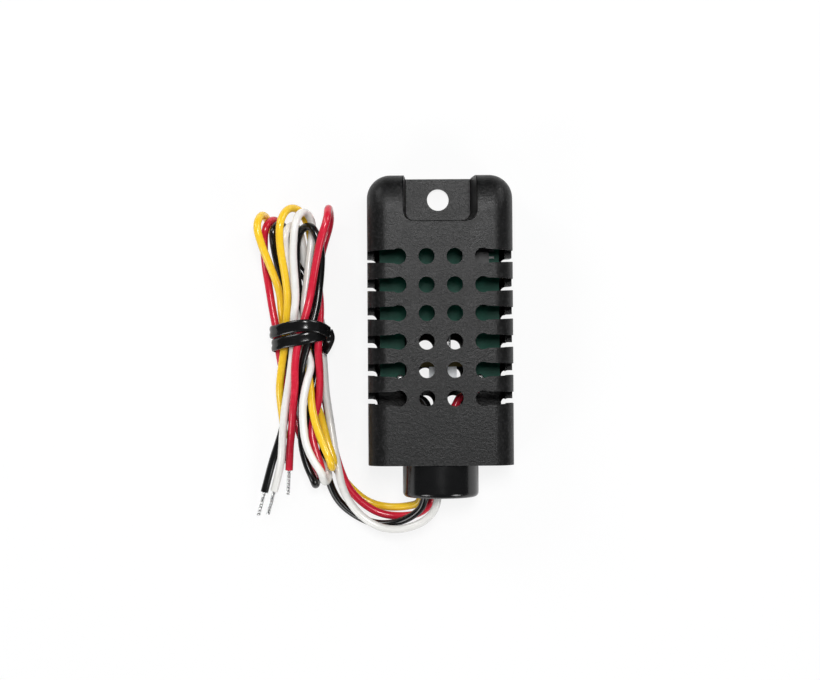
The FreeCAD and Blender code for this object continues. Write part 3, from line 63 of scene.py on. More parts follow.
# The four leads: each route runs from the grommet to the end of the insulation, in millimetres
# from the tie round the hank. UP and DOWN are folds between the corners beside them
LEADS = ("yellow", "black", "red", "white")
UP, DOWN = 1, -1
HANK = np.array([-25.4, 0.2, 0.0])
NECK_END = -27.075
LEAD_DIAMETER = 1.45
FLOOR_GAP = 0.05
EXITS = {"yellow": (-3.3, 6.2), "black": (-2.7, 8.5), "red": (-1.4, 6.0), "white": (-0.5, 8.3)}
ROUTES = {
    "yellow": [
        (22.1, -27.3, 6.2), (22.1, -31.0, 5.6), (19.2, -32.4, 3.6), (15.6, -32.8, 1.6),
        (12.0, -31.6, 0.8), (9.0, -28.8, 0.75),
        (6.6, -25.4, 0.75), (4.4, -21.8, 0.75), (2.2, -18.2, 0.75), (0.2, -14.4, 0.75),
        (-1.6, -10.4, 0.75), (-2.9, -6.2, 0.9),
        (-3.0, -2.2, 1.4), (-3.0, 1.8, 1.5), (-3.0, 5.0, 2.6), (-3.7, 8.0, 4.4),
        (-4.9, 10.8, 6.0), (-6.2, 13.8, 7.1),
        (-7.5, 17.0, 7.8), (-8.4, 20.4, 8.2), UP, (-5.4, 20.0, 1.2), (-4.7, 16.8, 1.0),
        (-3.7, 13.2, 1.3), (-2.5, 9.6, 1.6),
        (-1.9, 6.0, 1.5), (-1.45, 2.0, 1.45), (-1.3, -2.2, 1.45), (-0.6, -6.2, 1.5),
        (0.5, -9.8, 1.9), (2.0, -13.3, 2.8),
        (3.4, -16.8, 4.0), (4.5, -19.9, 4.4), (5.8, -22.9, 4.1), DOWN, (5.0, -22.9, 8.9),
        (3.7, -20.0, 8.4),
        (2.4, -16.6, 7.4), (1.6, -13.0, 6.3), (1.6, -9.2, 5.1), (1.4, -5.6, 3.8),
        (1.05, -2.2, 2.8), (1.05, 2.0, 2.75),
        (1.8, 6.0, 2.0), (1.6, 9.8, 1.2), (1.5, 13.4, 0.8), (1.4, 17.0, 0.8), (0.9, 21.0, 1.4),
        UP, (-4.0, 21.4, 8.8),
        (-4.15, 18.0, 8.5), (-3.75, 14.6, 7.7), (-3.15, 11.2, 6.7), (-2.6, 7.8, 5.7),
        (-2.5, 4.8, 4.9), (-2.9, 1.4, 4.2),
        (-3.1, -2.2, 4.1), (-3.2, -6.0, 4.0), (-3.3, -9.8, 3.4), (-3.4, -13.2, 2.3),
        (-3.55, -16.4, 1.1), (-3.75, -19.2, 0.85),
    ],
    "red": [
        (24.0, -27.3, 6.0), (24.0, -31.0, 5.4), (21.4, -33.2, 3.8), (17.6, -33.6, 2.8),
        (14.0, -33.2, 2.4), (10.7, -31.2, 2.3),
        (8.1, -28.5, 2.3), (6.5, -25.2, 2.3), (5.4, -21.6, 2.1), (4.4, -18.0, 1.2),
        (3.7, -14.4, 0.8), (2.9, -10.6, 0.75),
        (2.1, -6.4, 1.0), (1.6, -2.2, 1.4), (1.4, 2.0, 1.3), (0.1, 5.8, 0.85), (-1.4, 9.4, 0.8),
        (-2.7, 13.0, 0.8), (-3.4, 16.4, 0.8),
        (-3.9, 19.8, 1.0), UP, (-6.6, 19.8, 6.6), (-7.0, 16.2, 4.8), (-6.6, 12.8, 3.3),
        (-5.6, 9.4, 2.6),
        (-4.2, 6.0, 2.5), (-3.6, 2.0, 2.75), (-3.7, -2.2, 2.75), (-3.1, -6.0, 2.4),
        (-2.8, -9.6, 2.3), (-2.0, -13.2, 2.5),
        (-1.0, -16.8, 2.6), (0.2, -20.0, 2.6), (1.8, -23.1, 2.4), (3.6, -25.0, 2.2),
        DOWN, (3.5, -24.6, 5.8),
        (2.4, -21.8, 5.4), (1.5, -18.8, 4.8), (1.5, -15.6, 4.2), (2.4, -12.4, 4.2),
        (2.65, -9.2, 4.3), (2.4, -5.6, 4.5),
        (2.2, -2.2, 4.8), (2.3, 1.6, 4.5), (2.1, 5.6, 3.4), (2.2, 9.6, 2.6), (2.7, 13.2, 1.9),
        (3.7, 16.8, 1.2), (5.2, 21.2, 1.0), UP,
        (4.7, 21.4, 9.2), (3.5, 18.0, 8.8), (2.8, 14.6, 7.9), (2.15, 11.2, 6.9),
        (1.65, 7.8, 6.1), (1.0, 4.6, 5.7),
        (0.1, 1.4, 5.5), (-0.5, -2.2, 5.5), (-1.0, -5.8, 5.2), (-1.5, -9.6, 4.8),
        (-1.95, -13.4, 4.4), (-2.3, -17.0, 3.4),
        (-2.5, -20.2, 1.9), (-2.7, -22.8, 1.2), (-2.85, -25.1, 1.25),
    ],
    "white": [
        (24.9, -27.3, 8.3), (25.0, -31.2, 7.8), (22.8, -34.2, 6.4), (19.2, -35.6, 5.0),
        (15.0, -35.8, 4.2), (11.3, -34.1, 3.9),
        (8.6, -31.4, 3.9), (6.8, -28.0, 3.8), (5.95, -24.4, 3.5), (5.3, -20.8, 2.9),
        (4.7, -17.2, 2.4), (4.0, -13.6, 2.3),
        (3.4, -10.0, 2.3), (2.9, -6.2, 2.5), (2.6, -2.2, 2.6), (2.6, 2.0, 2.6), (1.8, 5.4, 1.4),
        (0.8, 8.8, 1.3), (0.4, 12.2, 1.4),
        (0.2, 15.6, 1.8), (-0.3, 19.0, 1.6), UP, (-3.3, 19.0, 6.2), (-3.1, 15.4, 5.2),
        (-2.6, 12.0, 4.4),
        (-2.0, 8.6, 3.3), (-1.3, 5.4, 3.0), (-0.65, 2.0, 2.8), (-0.7, -2.2, 2.75),
        (-1.1, -6.0, 2.9), (-1.0, -9.8, 2.8),
        (-0.4, -13.6, 2.8), (0.4, -17.2, 3.2), (1.4, -20.4, 3.5), (2.5, -23.2, 3.6),
        (3.8, -25.6, 3.4), DOWN,
        (3.4, -25.2, 8.2), (1.8, -23.0, 7.8), (0.4, -19.8, 7.3), (0.0, -16.2, 6.6),
        (0.1, -12.6, 5.8), (0.6, -9.0, 4.9),
        (0.9, -5.6, 4.0), (0.2, -2.2, 4.1), (0.2, 2.0, 4.0), (0.6, 6.0, 3.3), (0.8, 9.6, 3.2),
        (1.1, 13.2, 3.2), (1.5, 16.8, 3.2),
        (2.0, 20.8, 2.8), UP, (-1.2, 21.0, 9.2), (-1.6, 17.2, 8.8), (-1.65, 13.8, 7.8),
        (-1.45, 10.4, 6.8),
        (-1.2, 7.0, 5.8), (-1.0, 4.2, 4.9), (-1.4, 1.4, 4.3), (-1.7, -2.2, 4.2),
        (-2.1, -5.8, 4.8), (-2.4, -9.4, 5.1),
        (-2.75, -13.0, 5.0), (-3.2, -16.6, 4.4), (-3.75, -20.0, 3.4), (-4.4, -23.2, 2.2),
        (-5.1, -26.2, 1.2), (-5.75, -29.0, 1.05),
    ],
    "black": [
        (22.7, -27.3, 8.5), (22.6, -31.0, 7.6), (20.2, -33.6, 5.6), (16.6, -34.8, 3.4),
        (12.8, -34.9, 1.6), (9.2, -33.4, 0.8),
        (6.4, -31.2, 0.75), (4.7, -28.2, 0.8), (3.8, -24.9, 1.4), (3.3, -21.4, 2.1),
        (2.9, -17.8, 2.1), (2.2, -14.0, 1.4),
        (1.5, -10.4, 0.9), (0.7, -6.8, 1.1), (0.1, -3.0, 1.4), (0.1, 0.8, 1.4), (0.3, 4.2, 2.4),
        (0.0, 7.6, 3.2), (-0.7, 11.2, 3.8), (-1.1, 14.8, 3.6),
        (-1.0, 18.4, 3.2), UP, (2.5, 19.4, 6.6), (3.6, 15.8, 6.2), (3.45, 12.4, 5.6),
        (3.1, 9.0, 5.2), (2.65, 5.4, 5.0),
        (1.7, 1.8, 5.4), (1.0, -1.8, 5.5), (0.4, -5.2, 5.0), (0.0, -8.8, 4.4),
        (-0.3, -12.4, 4.2), (-0.5, -16.2, 4.4),
        (-0.4, -20.0, 4.8), (0.5, -23.7, 5.2), (2.0, -26.8, 5.6), DOWN, (2.6, -26.2, 1.9),
        (1.6, -22.6, 1.9),
        (1.1, -18.8, 1.9), (0.9, -15.0, 2.8), (1.3, -11.2, 3.5), (1.6, -7.4, 3.5),
        (1.7, -3.6, 3.8), (1.7, 0.2, 4.1),
        (1.4, 4.0, 3.8), (0.8, 7.4, 2.8), (0.0, 10.4, 2.2), (-1.4, 13.4, 2.2), (-2.6, 16.6, 2.2),
        (-3.1, 19.4, 2.0), UP,
        (-5.9, 19.4, 6.6), (-5.2, 15.8, 5.4), (-4.4, 12.4, 4.2), (-3.7, 9.2, 3.2),
        (-3.0, 5.8, 2.6),
        (-2.2, 2.0, 2.75), (-2.2, -2.2, 2.75), (-2.4, -5.8, 2.8), (-3.2, -9.6, 2.8),
        (-3.4, -13.2, 2.6), (-3.85, -16.8, 2.4),
        (-4.65, -20.2, 2.3), (-5.7, -23.5, 1.8), (-6.6, -26.5, 1.3), (-7.5, -29.2, 1.15),
    ],
}
SHARES = 4
LINE_WEIGHTS = np.array([
    ((1 - k / SHARES) ** 2 / 2, 0.5 + k / SHARES * (1 - k / SHARES), (k / SHARES) ** 2 / 2)
    for k in range(SHARES)
])
SETTLE_STEPS = 260
PUSH = 1.6
HELD_HEIGHT = 4.0
HOLD_HIGH, HOLD_LOW, HOLD_RISE = 0.06, 0.015, 0.3
STIFFNESS = 0.02
SETTLE_GAP = 0.32
SETTLE_GAP_SELF = 0.66
TIE_REACH, TIE_ROOM = 2.4, 0.7


def with_folds(route):
    """A route's points, with two more across each fold."""
    points = []
    eighth = math.tan(math.pi / 8)
    for index, entry in enumerate(route):
        if entry not in (UP, DOWN):
            points.append(np.array(entry))
            continue
        start, end = np.array(route[index - 1]), np.array(route[index + 1])
        middle, radius = (start + end) / 2, np.linalg.norm(start - end) / 2
        beyond = middle + np.array([0, entry * radius * (1 - eighth), 0])
        points.append(beyond + (start - middle) * eighth)
        points.append(beyond + (end - middle) * eighth)
    return np.array(points)


def settled(routes, apart, apart_self, floor, tie_room):
    """The routes after their leads have pushed each other a diameter apart and off the floor."""
    def least_height(y):
        return floor + np.where(np.abs(y) < TIE_REACH, tie_room, 0)

    starts = [with_folds(route) for route in routes]
    start = np.concatenate(starts)
    points = start.copy()
    firsts = np.cumsum([0] + [len(part) for part in starts])
    inner = np.concatenate([np.arange(a + 1, b - 1) for a, b in zip(firsts, firsts[1:])])
    here = np.repeat(inner, SHARES)
    weights = np.tile(LINE_WEIGHTS, (len(inner), 1))
    owners = np.searchsorted(firsts, here, side="right")
    order = np.arange(len(here))
    free = np.concatenate([np.arange(a + 2, b) for a, b in zip(firsts, firsts[1:])])
    bending = np.concatenate([np.arange(a + 2, b - 1) for a, b in zip(firsts, firsts[1:])])
    hold = np.where(start[:, 2] > HELD_HEIGHT, HOLD_HIGH, HOLD_LOW)[:, None]
    near = apart_self + 2
    for step in range(SETTLE_STEPS):
        line = sum(weights[:, k:k + 1] * points[here + k - 1] for k in range(3))
        if step % 10 == 0:
            gaps = np.linalg.norm(line[:, None] - line[None], axis=2)
            beside = (owners[:, None] == owners) & (order - order[:, None] <= 3 * SHARES)
            first, second = np.nonzero((gaps < near) & (order > order[:, None]) & ~beside)
            limit = np.where(owners[first] == owners[second], apart_self, apart)
        between = line[first] - line[second]
        distance = np.linalg.norm(between, axis=1)
        touching = distance < limit
        share = between[touching] * ((limit - distance) / distance)[touching, None]
        push, count = np.zeros_like(line), np.zeros(len(line))
        for end, sign in ((first[touching], 1), (second[touching], -1)):
            np.add.at(push, end, share * sign)
            np.add.at(count, end, 1)
        push *= (PUSH / np.maximum(count, 1))[:, None]
        push[:, 2] += 2 * np.maximum(least_height(line[:, 1]) - line[:, 2], 0)
        moves = np.zeros_like(points)
        for k in range(3):
            np.add.at(moves, here + k - 1, push * weights[:, k:k + 1] / SHARES)
        pull = (start - points) * hold * (1, 1, HOLD_RISE)
        bend = np.zeros_like(points)
        for shape, sign in ((points, 1), (start, -1)):
            bend[bending] += sign * (shape[bending - 1] + shape[bending + 1] - 2 * shape[bending])
        moved = points[free] + moves[free] + (pull + bend * STIFFNESS)[free]
        moved[:, 2] = np.maximum(moved[:, 2], least_height(moved[:, 1]))
        points[free] = moved
    return [points[a:b] for a, b in zip(firsts, firsts[1:])]


routes = []
for name in LEADS:
    x, z = EXITS[name]
    routes.append([(x - HANK[0], NECK_END - HANK[1], z)] + ROUTES[name][1:])
routes = settled(routes, LEAD_DIAMETER + SETTLE_GAP, LEAD_DIAMETER + SETTLE_GAP_SELF,
                 LEAD_DIAMETER / 2 + FLOOR_GAP, TIE_ROOM)
lead_points = {name: (route + HANK) * MM for name, route in zip(LEADS, routes)}


def lead_curve(name, points):
    """A smooth round lead with these points as its control points."""
    data = bpy.data.curves.new(name, "CURVE")
    data.dimensions = "3D"
    spline = data.splines.new("NURBS")
    spline.points.add(len(points) - 1)
    for point, place in zip(spline.points, points):
        point.co = (*place, 1)
    spline.order_u = 3
    spline.use_endpoint_u = True
    spline.resolution_u = 6
    data.bevel_depth = LEAD_DIAMETER / 2 * MM
    data.bevel_resolution = 5
    data.use_fill_caps = True
    lead = bpy.data.objects.new(name, data)
    scene.collection.objects.link(lead)
    return lead


leads = {name: lead_curve(f"{name}_lead", lead_points[name]) for name in LEADS}


# Lights and floor
FLOOR_HALF, FLOOR_BELOW = 3, 0.00002


def area_light(name, place, size, power):
    """A square light that shines on the middle of the case's back."""
    data = bpy.data.lights.new(name, "AREA")
    data.size, data.energy = size, power
    lamp = bpy.data.objects.new(name, data)
    scene.collection.objects.link(lamp)
    lamp.location = place
    lamp.rotation_euler = (-Vector(place)).to_track_quat("-Z", "Y").to_euler()


area_light("overhead", (0.01, 0.14, 0.6), 0.16, 2.3)
for side in (-1, 1):
    for end in (-1, 1):
        area_light(f"corner_{side}_{end}", (0.55 * side, 0.5 * end, 0.42), 0.3, 2.1)

world = bpy.data.worlds.new("room")
scene.world = world
world.use_nodes = True
world.node_tree.nodes["Background"].inputs["Color"].default_value = (0.9, 0.95, 1.0, 1)
world.node_tree.nodes["Background"].inputs["Strength"].default_value = 0.1

floor_mesh = bpy.data.meshes.new("floor")
corners = [(-FLOOR_HALF, -FLOOR_HALF, 0), (FLOOR_HALF, -FLOOR_HALF, 0),
           (FLOOR_HALF, FLOOR_HALF, 0), (-FLOOR_HALF, FLOOR_HALF, 0)]
floor_mesh.from_pydata(corners, [], [(0, 1, 2, 3)])
floor = bpy.data.objects.new("floor", floor_mesh)
scene.collection.objects.link(floor)
floor.location.z = -FLOOR_BELOW


# Materials
def new_material(name):
    made = bpy.data.materials.new(name)
    made.use_nodes = True
    return made, made.node_tree, made.node_tree.nodes["Principled BSDF"]


def add(tree, kind, inputs=(), **settings):
    """A node with its settings, and its inputs linked or set."""
    node = tree.nodes.new(kind)
    for key, value in settings.items():
        setattr(node, key, value)
    for key, value in dict(inputs).items():
        if isinstance(value, bpy.types.NodeSocket):
            tree.links.new(value, node.inputs[key])
        else:
            node.inputs[key].default_value = value
    return node


def new_group(name, inputs, outputs):
    group = bpy.data.node_groups.new(name, "ShaderNodeTree")
    for title, kind, value in inputs:
        socket = group.interface.new_socket(title, in_out="INPUT", socket_type=kind)
        if value is not None:
            socket.default_value = value
    for title, kind in outputs:
        group.interface.new_socket(title, in_out="OUTPUT", socket_type=kind)
    return group, group.nodes.new("NodeGroupInput"), group.nodes.new("NodeGroupOutput")


FLOAT, VECTOR, COLOR = "NodeSocketFloat", "NodeSocketVector", "NodeSocketColor"

# Fine texture of a mould: dense small pits and grains, and a mask of the brighter grains
mould_grain, given, result = new_group(
    "mould_grain", [("Vector", VECTOR, None), ("Size", FLOAT, 0.0002)],
    [("Height", FLOAT), ("Bright Grains", FLOAT)])
per_metre = add(mould_grain, "ShaderNodeMath", {0: 1.0, 1: given.outputs["Size"]},
                operation="DIVIDE")
fine = add(mould_grain, "ShaderNodeTexNoise",
           {"Vector": given.outputs["Vector"], "Scale": per_metre.outputs[0], "Detail": 2.0,
            "Roughness": 0.6})
coarse_scale = add(mould_grain, "ShaderNodeMath", {0: per_metre.outputs[0], 1: 0.37},
                   operation="MULTIPLY")
coarse = add(mould_grain, "ShaderNodeTexNoise",
             {"Vector": given.outputs["Vector"], "Scale": coarse_scale.outputs[0], "Detail": 3.0})
both = add(mould_grain, "ShaderNodeMath", {0: fine.outputs["Fac"], 1: coarse.outputs["Fac"]},
           operation="ADD")
mould_grain.links.new(both.outputs[0], result.inputs["Height"])
bright = add(mould_grain, "ShaderNodeMapRange",
             {"Value": both.outputs[0], "From Min": 1.0, "From Max": 1.3})
mould_grain.links.new(bright.outputs[0], result.inputs["Bright Grains"])

# Handling marks: broad, faint patches where a surface is a little shinier
handling, given, result = new_group(
    "handling", [("Vector", VECTOR, None), ("Size", FLOAT, 0.006)], [("Marks", FLOAT)])
per_metre = add(handling, "ShaderNodeMath", {0: 1.0, 1: given.outputs["Size"]},
                operation="DIVIDE")
patches = add(handling, "ShaderNodeTexNoise",
              {"Vector": given.outputs["Vector"], "Scale": per_metre.outputs[0], "Detail": 4.0,
               "Roughness": 0.65, "Distortion": 0.6})
marks = add(handling, "ShaderNodeMapRange",
            {"Value": patches.outputs["Fac"], "From Min": 0.4, "From Max": 0.7})
handling.links.new(marks.outputs[0], result.inputs["Marks"])


# Painted shade: a dark line along the edge of a box with rounded corners, seen along Z, standing
# in for the shade in the crevice round a recess
recess_shade_line, given, result = new_group(
    "recess_shade_line", [("Vector", VECTOR, None), ("Centre", VECTOR, None), ("Half Size", VECTOR, None),
             ("Corner", FLOAT, 0.001), ("Width", FLOAT, 0.0001)], [("Line", FLOAT)])
moved = add(recess_shade_line, "ShaderNodeVectorMath", {0: given.outputs["Vector"], 1: given.outputs["Centre"]},
            operation="SUBTRACT")
folded = add(recess_shade_line, "ShaderNodeVectorMath", {0: moved.outputs[0]}, operation="ABSOLUTE")
beyond = add(recess_shade_line, "ShaderNodeVectorMath", {0: folded.outputs[0], 1: given.outputs["Half Size"]},
             operation="SUBTRACT")
axes = add(recess_shade_line, "ShaderNodeSeparateXYZ", {0: beyond.outputs[0]})
past = [add(recess_shade_line, "ShaderNodeMath", {0: axes.outputs[k], 1: given.outputs["Corner"]},
            operation="ADD") for k in range(2)]
outer = [add(recess_shade_line, "ShaderNodeMath", {0: one.outputs[0], 1: 0.0}, operation="MAXIMUM")
         for one in past]
corner = add(recess_shade_line, "ShaderNodeCombineXYZ", {"X": outer[0].outputs[0], "Y": outer[1].outputs[0]})
outside = add(recess_shade_line, "ShaderNodeVectorMath", {0: corner.outputs[0]}, operation="LENGTH")
farther = add(recess_shade_line, "ShaderNodeMath", {0: past[0].outputs[0], 1: past[1].outputs[0]},
              operation="MAXIMUM")
inside = add(recess_shade_line, "ShaderNodeMath", {0: farther.outputs[0], 1: 0.0}, operation="MINIMUM")
both = add(recess_shade_line, "ShaderNodeMath", {0: outside.outputs["Value"], 1: inside.outputs[0]},
           operation="ADD")
distance = add(recess_shade_line, "ShaderNodeMath", {0: both.outputs[0], 1: given.outputs["Corner"]},
               operation="SUBTRACT")
near = add(recess_shade_line, "ShaderNodeMath", {0: distance.outputs[0]}, operation="ABSOLUTE")
line = add(recess_shade_line, "ShaderNodeMapRange",
           {"Value": near.outputs[0], "From Min": given.outputs["Width"], "From Max": 0.0})
recess_shade_line.links.new(line.outputs[0], result.inputs["Line"])


def grained_plastic(name, dark, light, roughness, rough_range, grain_size, depth, shine=0.5,
                    recess=None):
    """A moulded plastic with two tones, grain, handling marks and a painted shade line round a
    recess.
    """
    made, tree, shader = new_material(name)
    where = add(tree, "ShaderNodeTexCoord")
    grain = add(tree, "ShaderNodeGroup", node_tree=mould_grain)
    grain.inputs["Size"].default_value = grain_size
    tree.links.new(where.outputs["Object"], grain.inputs["Vector"])
    marks = add(tree, "ShaderNodeGroup", node_tree=handling)
    tree.links.new(where.outputs["Object"], marks.inputs["Vector"])
    tones = add(tree, "ShaderNodeMix", data_type="RGBA")
    tones.inputs["A"].default_value = (*dark, 1)
    tones.inputs["B"].default_value = (*light, 1)
    tree.links.new(grain.outputs["Bright Grains"], tones.inputs["Factor"])
    colour = tones.outputs["Result"]
    shader.inputs["Specular IOR Level"].default_value = shine
    if recess:
        half, low, corner, width = (size * MM for size in recess)
        reach = 20 * MM
        recess_shade = add(tree, "ShaderNodeGroup", node_tree=recess_shade_line)
        tree.links.new(where.outputs["Object"], recess_shade.inputs["Vector"])
        recess_shade.inputs["Centre"].default_value = (0, low + reach, 0)
        recess_shade.inputs["Half Size"].default_value = (half, reach, 1)
        recess_shade.inputs["Corner"].default_value = corner
        recess_shade.inputs["Width"].default_value = width
        # Painted shade: the recess line darkens the colour towards black and takes the sheen away
        shaded = add(tree, "ShaderNodeMix", data_type="RGBA")
        shaded.inputs["B"].default_value = (0, 0, 0, 1)
        tree.links.new(recess_shade.outputs["Line"], shaded.inputs["Factor"])
        tree.links.new(colour, shaded.inputs["A"])
        colour = shaded.outputs["Result"]
        dull = add(tree, "ShaderNodeMapRange", {"Value": recess_shade.outputs["Line"], "To Min": shine,
                                                "To Max": 0.0})
        tree.links.new(dull.outputs[0], shader.inputs["Specular IOR Level"])
    tree.links.new(colour, shader.inputs["Base Color"])
    rough = add(tree, "ShaderNodeMapRange",
                {"Value": marks.outputs["Marks"], "To Min": roughness,
                 "To Max": roughness - rough_range})
    tree.links.new(rough.outputs[0], shader.inputs["Roughness"])
    bump = add(tree, "ShaderNodeBump", {"Height": grain.outputs["Height"], "Distance": depth,
                                        "Strength": 1.0})
    tree.links.new(bump.outputs["Normal"], shader.inputs["Normal"])
    return made


def grey(value):
    return (value, value, value * 1.03)


# Half width, lower edge, corner radius and line width of the painted shade line round the tab's
# recess, in millimetres
RECESS_MOUTH, RECESS_FLOOR = (6.72, 21.1, 2.25, 0.22), (6.1, 21.73, 1.6, 0.18)
case_plastic, tab_plastic = (
    grained_plastic(name, grey(0.001), grey(0.016), 0.4, 0.05, 0.0002, 0.00004, 0.26, recess)
    for name, recess in (("case_plastic", RECESS_MOUTH), ("tab_plastic", RECESS_FLOOR)))
collar_plastic = grained_plastic("collar_plastic", grey(0.004), grey(0.005), 0.2, 0.08, 0.0006,
                                 0.000001)
grommet_rubber = grained_plastic("grommet_rubber", grey(0.006), grey(0.012), 0.6, 0.1, 0.0001,
                                 0.000006)
chip_resin = grained_plastic("chip_resin", grey(0.012), grey(0.03), 0.55, 0.1, 0.00008, 0.000003)
bead_resin = grained_plastic("bead_resin", grey(0.008), grey(0.012), 0.25, 0.1, 0.0004, 0.000002)
tie_plastic = grained_plastic("tie_plastic", grey(0.004), grey(0.007), 0.22, 0.1, 0.0005,
                              0.000002)
ceramic_body = grained_plastic("ceramic_body", (0.22, 0.13, 0.06), (0.33, 0.2, 0.1), 0.5, 0.1,
                               0.0001, 0.000002)
element_white = grained_plastic("element_white", (0.78, 0.8, 0.82), (0.86, 0.88, 0.9), 0.45, 0.1,
                                0.0003, 0.000002)
carrier_laminate = grained_plastic("carrier_laminate", (0.09, 0.07, 0.015), (0.15, 0.11, 0.03),
                                   0.4, 0.1, 0.0002, 0.000002)
board_green = grained_plastic("board_green", (0.001, 0.05, 0.032), (0.002, 0.064, 0.04), 0.5, 0.1,
                              0.0008, 0.000002, 0.12)

INSULATION = {
    "yellow": ((0.86, 0.54, 0.022), (0.92, 0.61, 0.038)),
    "black": (grey(0.003), grey(0.006)),
    "red": ((0.58, 0.014, 0.038), (0.66, 0.024, 0.056)),
    "white": ((0.79, 0.78, 0.75), (0.84, 0.83, 0.8)),
}
insulation = {
    name: grained_plastic(f"insulation_{name}", dark, light, 0.24, 0.08, 0.0005, 0.000003)
    for name, (dark, light) in INSULATION.items()
}


def metal(name, dark, light, roughness):
    """A bare metal with two tones and grain."""
    made = grained_plastic(name, (dark,) * 3, (light,) * 3, roughness, 0.08, 0.0003, 0.000004)
    made.node_tree.nodes["Principled BSDF"].inputs["Metallic"].default_value = 1.0
    return made


tinned = metal("tinned", 0.62, 0.85, 0.24)
# Painted shade: the tin of the chip pins and solder joints is far darker than real tin, standing
# in for the shade inside the case; its high roughness is the metal's own dullness
shade_darkened_tin = metal("shade_darkened_tin", 0.12, 0.2, 0.55)

floor_paint, tree, shader = new_material("floor_paint")
shader.inputs["Base Color"].default_value = (0.85, 0.85, 0.85, 1)
shader.inputs["Roughness"].default_value = 0.9
path = add(tree, "ShaderNodeLightPath")
direct = add(tree, "ShaderNodeMath", {0: path.outputs["Is Camera Ray"], 1: 0.85},
             operation="MULTIPLY")
mirrored = add(tree, "ShaderNodeMath", {0: path.outputs["Is Glossy Ray"], 1: 0.3},
               operation="MULTIPLY")
share = add(tree, "ShaderNodeMath", {0: direct.outputs[0], 1: mirrored.outputs[0]},
            operation="MAXIMUM")
glow = add(tree, "ShaderNodeEmission", {"Color": (1, 1, 1, 1), "Strength": 1.0})
mixed = add(tree, "ShaderNodeMixShader", {0: share.outputs[0]})
tree.links.new(shader.outputs[0], mixed.inputs[1])
tree.links.new(glow.outputs[0], mixed.inputs[2])
tree.links.new(mixed.outputs[0], tree.nodes["Material Output"].inputs["Surface"])
floor_mesh.materials.append(floor_paint)


def plain(made):
    """The object with its modifiers turned into mesh."""
    bpy.context.view_layer.update()
    seen = made.evaluated_get(bpy.context.evaluated_depsgraph_get())
    mesh = bpy.data.meshes.new_from_object(seen)
    made.modifiers.clear()
    old = made.data
    made.data = mesh
    bpy.data.meshes.remove(old)
    return made


# Stripped tips: strands laid round a middle one
twist = bpy.data.node_groups.new("twisted_strands", "GeometryNodeTree")
for title, kind, value in (
        ("Length", "NodeSocketFloat", 0.0046), ("Strands", "NodeSocketInt", 5),
        ("Strand Radius", "NodeSocketFloat", 0.00011), ("Lay Radius", "NodeSocketFloat", 0.00024),
        ("Turns", "NodeSocketFloat", 1.2), ("Material", "NodeSocketMaterial", None)):
    socket = twist.interface.new_socket(title, in_out="INPUT", socket_type=kind)
    if value is not None:
        socket.default_value = value
twist.interface.new_socket("Geometry", in_out="OUTPUT", socket_type="NodeSocketGeometry")
given, result = twist.nodes.new("NodeGroupInput"), twist.nodes.new("NodeGroupOutput")
helix = add(twist, "GeometryNodeCurveSpiral", {
    "Resolution": 24, "Rotations": given.outputs["Turns"], "Height": given.outputs["Length"],
    "Start Radius": given.outputs["Lay Radius"], "End Radius": given.outputs["Lay Radius"]})
places = add(twist, "GeometryNodePoints", {"Count": given.outputs["Strands"]})
number = add(twist, "GeometryNodeInputIndex")
share = add(twist, "ShaderNodeMath", {0: number.outputs[0], 1: given.outputs["Strands"]},
            operation="DIVIDE")
angle = add(twist, "ShaderNodeMath", {0: share.outputs[0], 1: 2 * math.pi}, operation="MULTIPLY")
turned = add(twist, "ShaderNodeCombineXYZ", {"Z": angle.outputs[0]})
turn = add(twist, "FunctionNodeEulerToRotation", {0: turned.outputs[0]})
around = add(twist, "GeometryNodeInstanceOnPoints", {
    "Points": places.outputs[0], "Instance": helix.outputs[0], "Rotation": turn.outputs[0]})
apart = add(twist, "GeometryNodeRealizeInstances", {0: around.outputs[0]})
top = add(twist, "ShaderNodeCombineXYZ", {"Z": given.outputs["Length"]})
middle = add(twist, "GeometryNodeCurvePrimitiveLine", {"End": top.outputs[0]})
all_lines = add(twist, "GeometryNodeJoinGeometry")
twist.links.new(apart.outputs[0], all_lines.inputs[0])
twist.links.new(middle.outputs[0], all_lines.inputs[0])
ring = add(twist, "GeometryNodeCurvePrimitiveCircle", {
    "Resolution": 8, "Radius": given.outputs["Strand Radius"]})
wires = add(twist, "GeometryNodeCurveToMesh", {
    "Curve": all_lines.outputs[0], "Profile Curve": ring.outputs[0], "Fill Caps": True})
coated = add(twist, "GeometryNodeSetMaterial", {
    "Geometry": wires.outputs[0], "Material": given.outputs["Material"]})
twist.links.new(coated.outputs[0], result.inputs[0])


def stripped_tip(name, turns):
    """Twisted strands from the end of a lead's insulation, straight on."""
    end, before = Vector(lead_points[name][-1]), Vector(lead_points[name][-2])
    made = bpy.data.objects.new(f"{name}_strands", bpy.data.meshes.new(f"{name}_strands"))
    scene.collection.objects.link(made)
    lay = made.modifiers.new("strands", "NODES")
    lay.node_group = twist
    for item in twist.interface.items_tree:
        if item.name == "Turns":
            lay[item.identifier] = turns
        if item.name == "Material":
            lay[item.identifier] = tinned
    made.update_tag()
    plain(made)
    on = (end - before).normalized()
    made.data.transform(Matrix.Translation(end) @ on.to_track_quat("Z", "Y").to_matrix().to_4x4())
    for face in made.data.polygons:
        face.use_smooth = True
    return made


